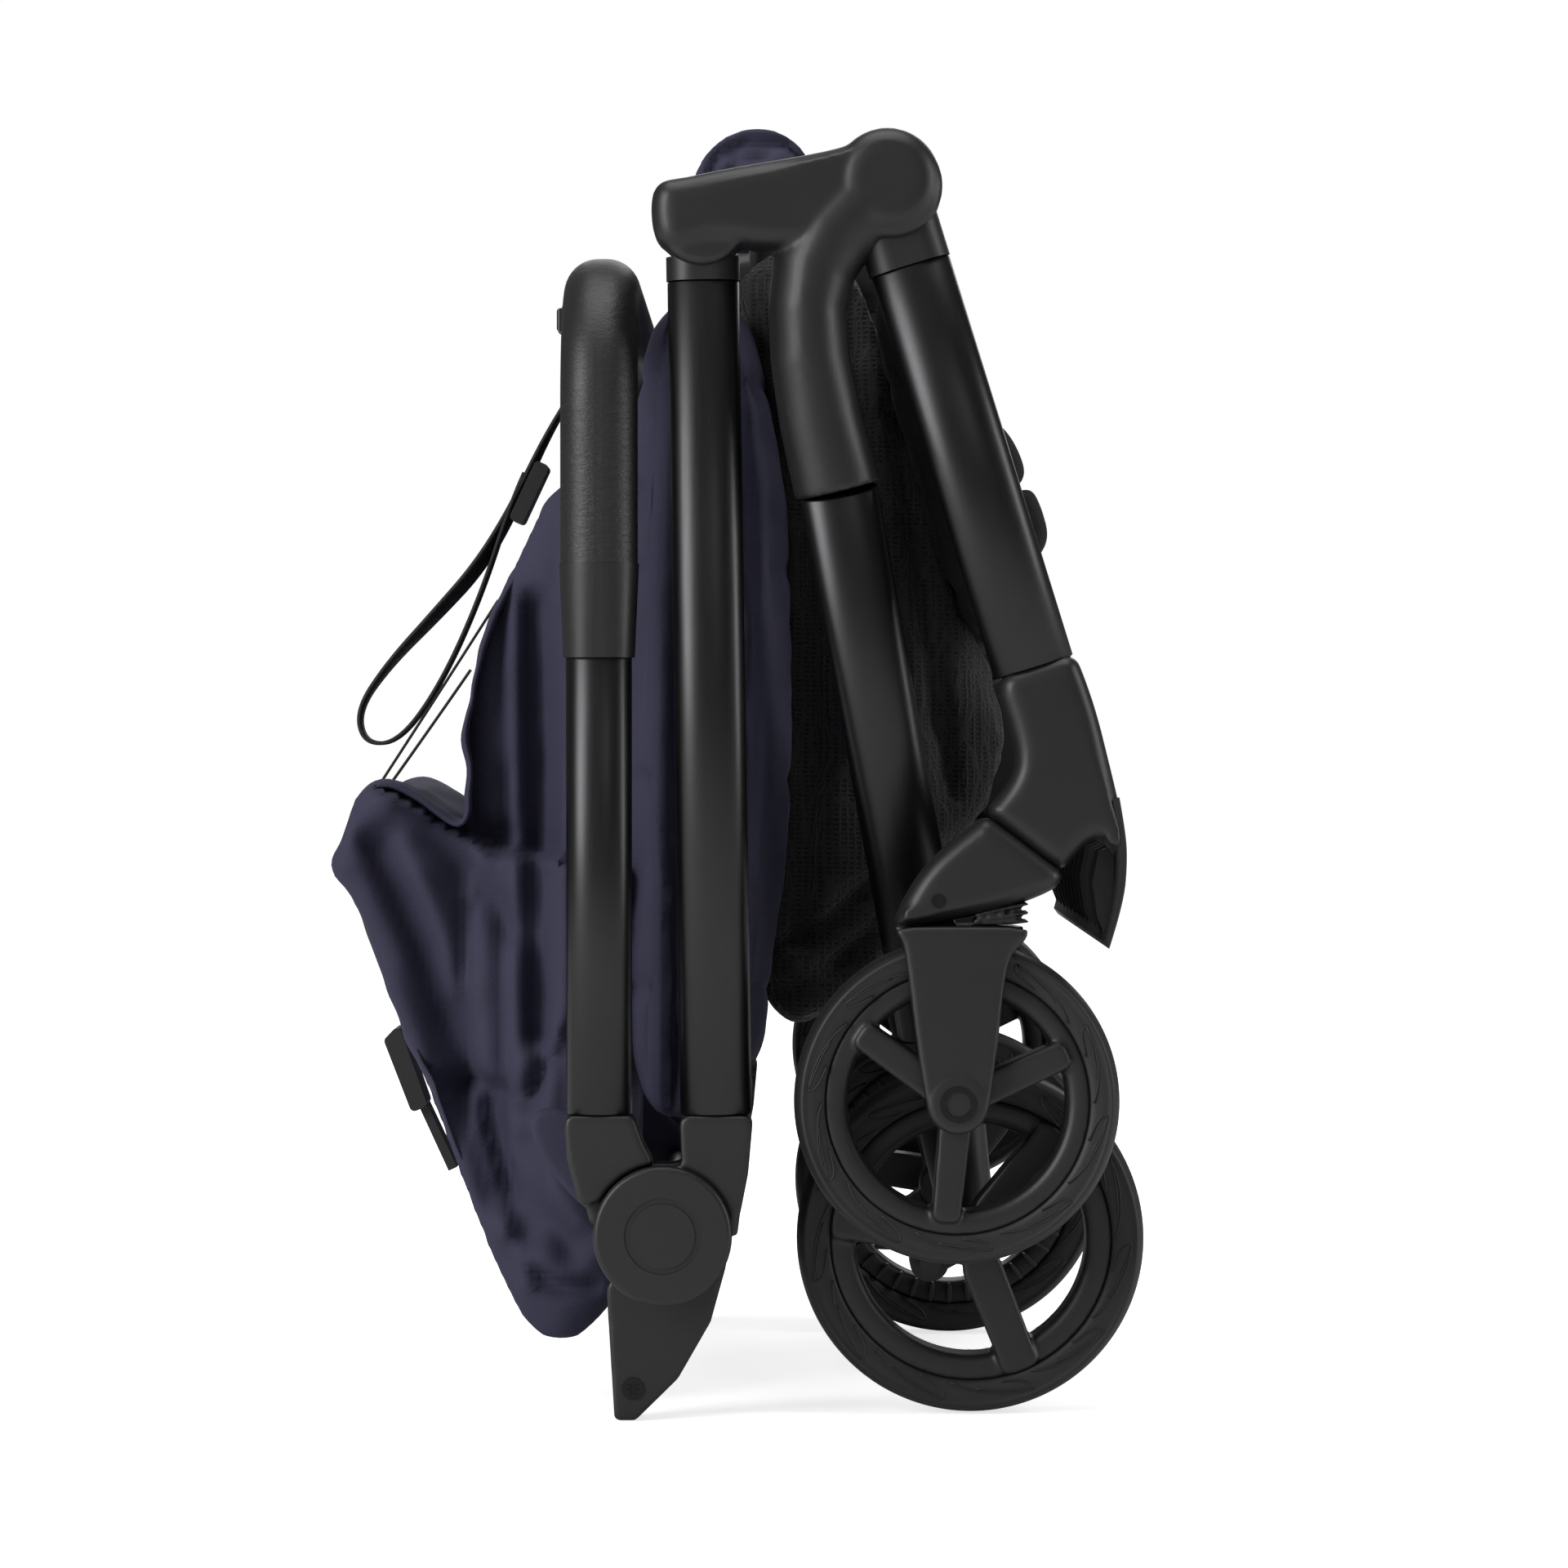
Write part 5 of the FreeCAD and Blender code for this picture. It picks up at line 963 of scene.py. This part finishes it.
dress_bundle(basket, basket_outline, 104.0, basket_folds, border=10.0, edge_round=6.0, sag=2.0,
             ripple=((52, 3.0), (22, 1.2)), seed=12, proud=8.0)
basket.data.materials.append(black_mesh)
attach(basket, "rear_frame")
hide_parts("basket")
print("basket faces:", len(basket.data.polygons))


# %% [markdown]
# The seat's base is a padded panel that folds flat between the front legs, and the harness pads lie on it.
# Both are placed in the leg's own frame: x across the leg, z up along it, from the hub's pivot.

# %% The seat's base and the harness pads
knee_top = np.array([124.6, 317.0])
hub_pivot = np.array(LEG_PIVOT)
up_leg = (hub_pivot - knee_top) / np.linalg.norm(hub_pivot - knee_top)
across_leg = np.array([up_leg[1], -up_leg[0]])


def beside_leg(points):
    return [tuple(hub_pivot + across_leg * x + up_leg * z) for x, z in points]


base_outline = beside_leg([(-14, -31), (12, -31), (15, -70), (15.4, -190), (8, -205), (-16, -201), (-17, -120)])
base_folds = [(beside_leg([(0, -34), (0, -200)]), -6.0, 3.0, 0, 1),
              (beside_leg([(-9, -40), (-10, -196)]), -5.0, 3.5, 0, 1)]
base_rows = [([(-150, z), (0, z + 3), (150, z)], -4.0, 3.5, 0, 1) for z in (350, 395, 440)]
base_rows += [([(side * 70, 320), (side * 74, 500)], -4.0, 3.5, 0, 1) for side in (-1, 1)]
seat_base = remeshed_prism("seat_base_pad", base_outline, 159.0, 4.0)
puffed(seat_base, 4.0)
dress_bundle(seat_base, base_outline, 159.0, base_folds, base_rows, border=7.0, edge_round=5.0, sag=1.0,
             ripple=((50, 1.4), (20, 0.6)), seed=21, proud=4.0)
seat_base.data.materials.append(black_cloth)
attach(seat_base, "front_frame")
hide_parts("seat_base")

pad_outlines = (beside_leg([(14.2, -100), (25, -104), (29.6, -118), (29.4, -133), (14.2, -136)]),
                beside_leg([(14.2, -138), (29.6, -135), (31.8, -146), (30.8, -163), (14.2, -172)]))
for number, (outline, y) in enumerate([(o, y) for o in pad_outlines for y in (-34, 34)], 1):
    pad = moulded(f"harness_pad_{number}", lambda mesh_: add_block(mesh_, outline, y, 20.5, 5.0), 1.8, 2)
    puffed(pad, 2.0, 3.0, 10)
    pad.data.materials.append(black_cloth)
    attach(pad, "front_frame")
    if number == 1:
        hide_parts("harness_pads")
print("seat base faces:", len(seat_base.data.polygons))


# %% [markdown]
# Two flat arms carry the hood from the hinge. They wear a sleeve of the hood's own cloth.

# %% Sleeves of the hood's arms
HINGE = (-30.6, 80.5)
sleeve_outline = [(HINGE[0] + dx, HINGE[1] + dz) for dx, dz in
                  ((6, -12), (12, 0), (6, 12), (-30, 46), (-56, 52), (-58, 36), (-34, 4))]
for name, side in (("right", -1), ("left", 1)):
    sleeve = moulded(f"hood_sleeve_{name}",
                     lambda mesh_: add_block(mesh_, sleeve_outline, side * 162.2, 4.4, 3.0), 1.6, 3)
    sleeve.data.materials.append(navy)
    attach(sleeve, "canopy")
    if side < 0:
        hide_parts("canopy_brackets")


# %% [markdown]
# Mouldings never have knife edges. A copy of each CAD moulding is remeshed at 1.2 mm and smoothed, which
# takes its edges back to a radius of about a millimetre, and that is where a moulding catches the light.

# %% Softer edges for the mouldings
def softened(node, body, voxel=1.2, rounds=3, material=nylon):
    mesh_ = bmesh.new()
    mesh_.from_mesh(nodes[node].data)
    bmesh.ops.remove_doubles(mesh_, verts=mesh_.verts, dist=0.00001)
    data = bpy.data.meshes.new(f"{node}_soft")
    mesh_.to_mesh(data)
    mesh_.free()
    data.materials.clear()
    made = remeshed(new_object(f"{node}_soft", data), voxel, rounds)
    made.data.materials.clear()
    made.data.materials.append(material)
    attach(made, body)
    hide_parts(node)
    print(made.name, "faces:", len(made.data.polygons))


for side in ("right", "left"):
    softened(f"lower_hinge_fitting_{side}", "handlebar_lower")
    softened(f"upper_hinge_fitting_{side}", "handlebar_upper")


# %% [markdown]
# The frame's tubes have a superellipse for a section: nearly an oval, a little squarer. Its curvature never
# stops, so a softbox runs down the tube as one broad streak that fades on both sides. A rounded rectangle
# would show a dull flat band between two bright corners instead.

# %% The frame's tubes
def frame_tube(mesh_, top, foot, wide, deep, power=2.3):
    """A tube between two points, its wide side turned to the side of the stroller."""
    top, foot = Vector(top), Vector(foot)
    down = (foot - top).normalized()
    across_it = down.cross(Vector((0, 1, 0))).normalized()
    outward = across_it.cross(down)
    section = []
    for k in range(72):
        c, s = math.cos(2 * math.pi * k / 72), math.sin(2 * math.pi * k / 72)
        section.append((math.copysign(abs(c) ** (2 / power), c) * wide / 2,
                        math.copysign(abs(s) ** (2 / power), s) * deep / 2))
    rings = []
    for centre, shrink in ((top, 0.8), (top + down * 0.8, 0), (foot - down * 0.8, 0), (foot, 0.8)):
        share = 1 - 2 * shrink / deep
        rings.append([tuple(centre + across_it * (a * share) + outward * (b * share)) for a, b in section])
    add_rings(mesh_, rings)


def along_limb(pivot, foot, start):
    """The point of a limb's axis at a distance below its pivot."""
    pivot, foot = np.array(pivot), np.array(foot)
    return tuple(pivot + (foot - pivot) / np.linalg.norm(foot - pivot) * start)


LOWER_FOOT, FRONT_FOOT, UPPER_X = (-8.4, 130.1), (124.6, 317.0), -57.4
lower_top, front_top = along_limb(HANDLE_PIVOT, LOWER_FOOT, 27.0), along_limb(LEG_PIVOT, FRONT_FOOT, 37.5)
tubes = {
    "lower_tubes": ("handlebar_lower", 30.0, [((lower_top[0], side * RAIL, lower_top[1]),
                                               (LOWER_FOOT[0], side * RAIL, LOWER_FOOT[1])) for side in (-1, 1)]),
    "upper_tubes": ("handlebar_upper", 27.5, [((UPPER_X, side * RAIL, 340), (UPPER_X, side * RAIL, 130.1))
                                              for side in (-1, 1)]),
    "front_leg_tubes": ("front_frame", 34.4, [((front_top[0], side * RAIL, front_top[1]),
                                               (FRONT_FOOT[0], side * RAIL, FRONT_FOOT[1])) for side in (-1, 1)]),
    "rear_leg_tubes": ("rear_frame", 33.0, [((42.9, side * 190, 391.5), (86.0, side * 117, 160.0))
                                            for side in (-1, 1)]),
}
for node, (body, wide, ends) in tubes.items():
    mesh_ = bmesh.new()
    for top, foot in ends:
        frame_tube(mesh_, top, foot, wide, 22.0)
    bmesh.ops.recalc_face_normals(mesh_, faces=mesh_.faces)
    tube = new_object(f"oval_{node}", bpy.data.meshes.new(f"oval_{node}"))
    mesh_.to_mesh(tube.data)
    mesh_.free()
    tube.data.polygons.foreach_set("use_smooth", [True] * len(tube.data.polygons))
    tube.data.materials.append(anodised)
    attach(tube, body)
    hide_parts(node)


# %% [markdown]
# The knuckle swivels under the knee and carries the sprung fork. Both are mouldings with full, soft edges.
# The fork's blades taper down to a round boss at the wheel's axle.

# %% Knuckles and forks
FRONT_AXLE, REAR_AXLE = (92.3, 135.8), (99.6, 74.2)
knuckle_outline = [(65.8, 209.4), (67.5, 215.4), (71.5, 223.0), (76.1, 230.4), (82.4, 237.8), (89.5, 244.0),
                   (96.6, 249.6), (104.0, 255.4), (111.6, 250.6), (120.4, 243.9), (128.9, 237.5), (136.4, 231.5),
                   (135.0, 226.6), (130.4, 223.4), (121.2, 219.6), (110.0, 215.8), (99.1, 213.4), (88.0, 211.4),
                   (80.0, 210.0), (72.0, 209.2)]
blade_outline = [(66.8, 209.2), (67.0, 206.0), (69.4, 203.0), (71.6, 188.0), (75.0, 160.0), (79.2, 134.0),
                 (80.6, 129.8), (84.0, 125.9), (88.2, 123.7), (92.3, 123.0), (96.4, 123.7), (100.6, 125.9),
                 (103.8, 129.8), (105.2, 134.0), (108.4, 158.0), (111.4, 186.0), (113.6, 196.6), (117.2, 201.2),
                 (120.8, 204.6), (121.4, 209.2), (94.0, 209.6)]
lug_outline = [(77.6, 206), (91.0, 206), (91.0, 220), (88.4, 225), (84.3, 226.4), (80.2, 225), (77.6, 220)]


def fork_parts(y):
    def build(mesh_):
        for inner in (-19.95, 19.95):
            add_block(mesh_, blade_outline, y + inner, 3.3, 1.9, rounds=1)
            add_block(mesh_, circle_outline(*FRONT_AXLE, 12.0), y + inner, 3.9, 1.2)
        add_block(mesh_, [(70, 205.6), (119.6, 205.6), (119.6, 209.3), (70, 209.3)], y, 18.0, 0.6, rounds=1)
        add_block(mesh_, lug_outline, y, 4.0, 0.8)
    return build


def bellows_parts(y):
    """A ribbed rubber bumper in the wedge over the fork's crown."""
    def build(mesh_):
        add_block(mesh_, [(101, 215.5), (119, 220), (119, 210.4), (101, 210.4)], y, 10.0, 0.8, rounds=1)
        for left, right in ((214.4, 219.6), (212.2, 215.8), (210.6, 212.2)):
            add_block(mesh_, [(99, left), (122, right), (122, right - 1.7), (99, left - 1.1)], y, 13.0, 0.4, rounds=1)
    return build


for name, side in (("right", -1), ("left", 1)):
    knuckle = moulded(f"knuckle_moulding_{name}",
                      lambda mesh_: add_block(mesh_, knuckle_outline, side * RAIL, 15.5, 7.5, rounds=1), 1.2, 4,
                      [((74.8, side * RAIL - 4.6, 190), (93.8, side * RAIL + 4.6, 229.3))])
    knuckle.data.materials.append(nylon)
    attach(knuckle, f"caster_{name}")
    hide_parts(f"caster_knuckle_{name}")
    blades = moulded(f"fork_moulding_{name}", fork_parts(side * RAIL), 1.05, 3)
    blades.data.materials.append(nylon)
    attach(blades, f"fork_{name}")
    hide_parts(f"fork_{name}")
    bellows = moulded(f"suspension_bellows_{name}", bellows_parts(side * RAIL), 0.8, 1)
    bellows.data.materials.append(soft_rubber)
    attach(bellows, f"caster_{name}")
    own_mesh(bellows)
    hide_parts(f"suspension_bumper_{name}")


# %% [markdown]
# A wheel is a foam tyre round a nylon rim. The rim's ring is broad and rounded, and the three spokes lie
# over it with rounded ends. The tyre's side has a groove against the rim, a thin raised ring near the tread
# and a row of leaf shapes between them. They repeat round the axle, so Geometry Nodes turn one leaf about it.

# %% Wheels
def add_turned(mesh_, profile, x, y, z, steps=180):
    """A closed section of (across, radius), turned about an axle."""
    loops = []
    for k in range(steps):
        c, s = math.cos(2 * math.pi * k / steps), math.sin(2 * math.pi * k / steps)
        loops.append([mesh_.verts.new(((x + r * c) * MM, (y + u) * MM, (z + r * s) * MM)) for u, r in profile])
    count = len(profile)
    for k in range(steps):
        a, b = loops[k], loops[(k + 1) % steps]
        for i in range(count):
            j = (i + 1) % count
            mesh_.faces.new((a[i], a[j], b[j], b[i]))


def mirrored(half_profile):
    """Both sides of a wheel's section, from the outer half of it."""
    return [(-u, r) for u, r in half_profile] + [(u, r) for u, r in reversed(half_profile) if u > 0]


def tyre_profile(bead, radius):
    return mirrored([(12.6, bead), (13.3, bead + 0.5), (13.9, bead + 2.2), (14.3, bead + 5.0), (14.4, radius - 6.4),
                     (14.3, radius - 4.6), (14.7, radius - 4.1), (14.6, radius - 3.3), (13.8, radius - 2.6),
                     (12.2, radius - 1.6), (9.6, radius - 0.75), (6.4, radius - 0.3), (5.6, radius - 1.1),
                     (4.8, radius - 1.1), (4.2, radius - 0.15), (0, radius)])


def ring_profile(inner, bead):
    return mirrored([(8.0, inner), (10.4, inner + 0.8), (11.7, inner + 2.6), (12.2, inner + 5.0), (12.2, bead - 1.6),
                     (11.9, bead - 0.4), (11.0, bead + 0.4)])


def spoke_outline(centre, angle, reach, wide):
    c, s = math.cos(math.radians(angle)), math.sin(math.radians(angle))
    flat = [(0, -wide / 2 - 0.8), (reach - 4, -wide / 2), (reach - 1.2, -wide / 2 + 0.7), (reach, -wide / 2 + 3.2),
            (reach, wide / 2 - 3.2), (reach - 1.2, wide / 2 - 0.7), (reach - 4, wide / 2), (0, wide / 2 + 0.8)]
    return [(centre[0] + c * a - s * b, centre[1] + s * a + c * b) for a, b in flat]


def rim_parts(axle, y, side, inner, bead, first, reach, wide):
    def build(mesh_):
        add_turned(mesh_, ring_profile(inner, bead), axle[0], y, axle[1], 120)
        for angle in (first, first + 120, first + 240):
            add_block(mesh_, spoke_outline(axle, angle, reach, wide), y + side * 4.6, 9.8, 1.4, rounds=1)
        add_block(mesh_, circle_outline(*axle, 11.4), y, 14.4, 1.5)
    return build


turn_tree, turn_in, turn_out = node_tree("pieces_round_an_axle", [
    ("Piece", "NodeSocketObject", None), ("Count", "NodeSocketInt", 9), ("Centre", "NodeSocketVector", None),
    ("Material", "NodeSocketMaterial", None)])
piece_info = add(turn_tree, "GeometryNodeObjectInfo", Object=turn_in.outputs["Piece"])
spots = add(turn_tree, "GeometryNodeMeshLine", Count=turn_in.outputs["Count"])
turn_tree.links.new(turn_in.outputs["Centre"], spots.inputs["Start Location"])
spots.inputs["Offset"].default_value = (0, 0, 0)
pitch = add(turn_tree, "ShaderNodeMath", {"operation": "DIVIDE"}, i0=2 * math.pi, i1=turn_in.outputs["Count"])
angle_now = add(turn_tree, "ShaderNodeMath", {"operation": "MULTIPLY"},
                i0=add(turn_tree, "GeometryNodeInputIndex").outputs[0], i1=pitch.outputs[0])
about = add(turn_tree, "ShaderNodeCombineXYZ", Y=angle_now.outputs[0])
copies = add(turn_tree, "GeometryNodeInstanceOnPoints", Points=spots.outputs["Mesh"],
             Instance=piece_info.outputs["Geometry"])
turn_tree.links.new(about.outputs["Vector"], copies.inputs["Rotation"])
both = add(turn_tree, "GeometryNodeJoinGeometry")
turn_tree.links.new(copies.outputs["Instances"], both.inputs["Geometry"])
turn_tree.links.new(turn_in.outputs["Geometry"], both.inputs["Geometry"])
link_end(turn_tree, both.outputs["Geometry"], turn_out, turn_in.outputs["Material"])


def polar(radius, degrees, y):
    return (radius * math.cos(math.radians(degrees)), y, radius * math.sin(math.radians(degrees)))


def leaf_mark(bead, radius, face):
    """One leaf on each side of the tyre, drawn by two thin raised lines that meet in a point."""
    leaf = new_object("tyre_leaf", bpy.data.meshes.new("tyre_leaf"))
    mesh_ = bmesh.new()
    low, high = bead + 1.2, radius - 5.6
    for y in (-face, face):
        for far in ([(low, 0), (low + 3.4, 9), (high - 1.6, 19), (high, 31)],
                    [(low, 20), (low + 1.2, 27), (high - 3.4, 32), (high, 31)],
                    [(low + 2.2, 10), (low + 3.4, 17), (high - 2.4, 24), (high, 31)]):
            stations = []
            for k in range(13):
                t = k / 12
                weights = ((1 - t) ** 3, 3 * t * (1 - t) ** 2, 3 * t * t * (1 - t), t ** 3)
                r = sum(w * p[0] for w, p in zip(weights, far))
                d = sum(w * p[1] for w, p in zip(weights, far))
                stations.append((*polar(r, d, y), 0.4, 0.4))
            add_sweep(mesh_, stations)
    bmesh.ops.recalc_face_normals(mesh_, faces=mesh_.faces)
    mesh_.to_mesh(leaf.data)
    mesh_.free()
    return leaf


def brake_rib(y, inner):
    rib_piece = new_object("brake_rib", bpy.data.meshes.new("brake_rib"))
    mesh_ = bmesh.new()
    add_block(mesh_, [(inner + 0.8, -1.0), (inner + 10.0, -1.3), (inner + 10.0, 1.3), (inner + 0.8, 1.0)], y, 2.2,
              0.4, rounds=1)
    bmesh.ops.recalc_face_normals(mesh_, faces=mesh_.faces)
    mesh_.to_mesh(rib_piece.data)
    mesh_.free()
    return rib_piece


wheel_kinds = {"front": (FRONT_AXLE, RAIL, 45.6, 55.3, 68.2, 24.4, 50.2, 12.2, 10),
               "rear": (REAR_AXLE, 148.0, 49.2, 60.0, 74.2, 51.5, 60.0, 16.0, 11)}
for kind, (axle, half, inner, bead, radius, first, reach, wide, leaves) in wheel_kinds.items():
    for name, side in (("right", -1), ("left", 1)):
        tyre = new_object(f"{kind}_foam_tyre_{name}", bpy.data.meshes.new(f"{kind}_foam_tyre_{name}"))
        mesh_ = bmesh.new()
        add_turned(mesh_, tyre_profile(bead, radius), axle[0], side * half, axle[1])
        bmesh.ops.recalc_face_normals(mesh_, faces=mesh_.faces)
        mesh_.to_mesh(tyre.data)
        mesh_.free()
        leaf = leaf_mark(bead, radius, 14.4)
        with_tree(tyre, turn_tree, piece=leaf, count=leaves, centre=(axle[0] * MM, side * half * MM, axle[1] * MM),
                  material=tyre_foam)
        bpy.data.objects.remove(leaf)
        tyre.data.polygons.foreach_set("use_smooth", [True] * len(tyre.data.polygons))
        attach(tyre, f"{kind}_wheel_{name}")
        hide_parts(f"{kind}_tyre_{name}")
        rim = moulded(f"{kind}_rim_moulding_{name}",
                      rim_parts(axle, side * half, side, inner, bead, first, reach, wide), 1.1, 2)
        if kind == "rear":
            rib_piece = brake_rib(-side * 13.2, inner)
            with_tree(rim, turn_tree, piece=rib_piece, count=40,
                      centre=(axle[0] * MM, side * half * MM, axle[1] * MM), material=rim_nylon)
            bpy.data.objects.remove(rib_piece)
        if not rim.data.materials:
            rim.data.materials.append(rim_nylon)
        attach(rim, f"{kind}_wheel_{name}")
        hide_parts(f"{kind}_rim_{name}")
        print(tyre.name, len(tyre.data.polygons), rim.name, len(rim.data.polygons))
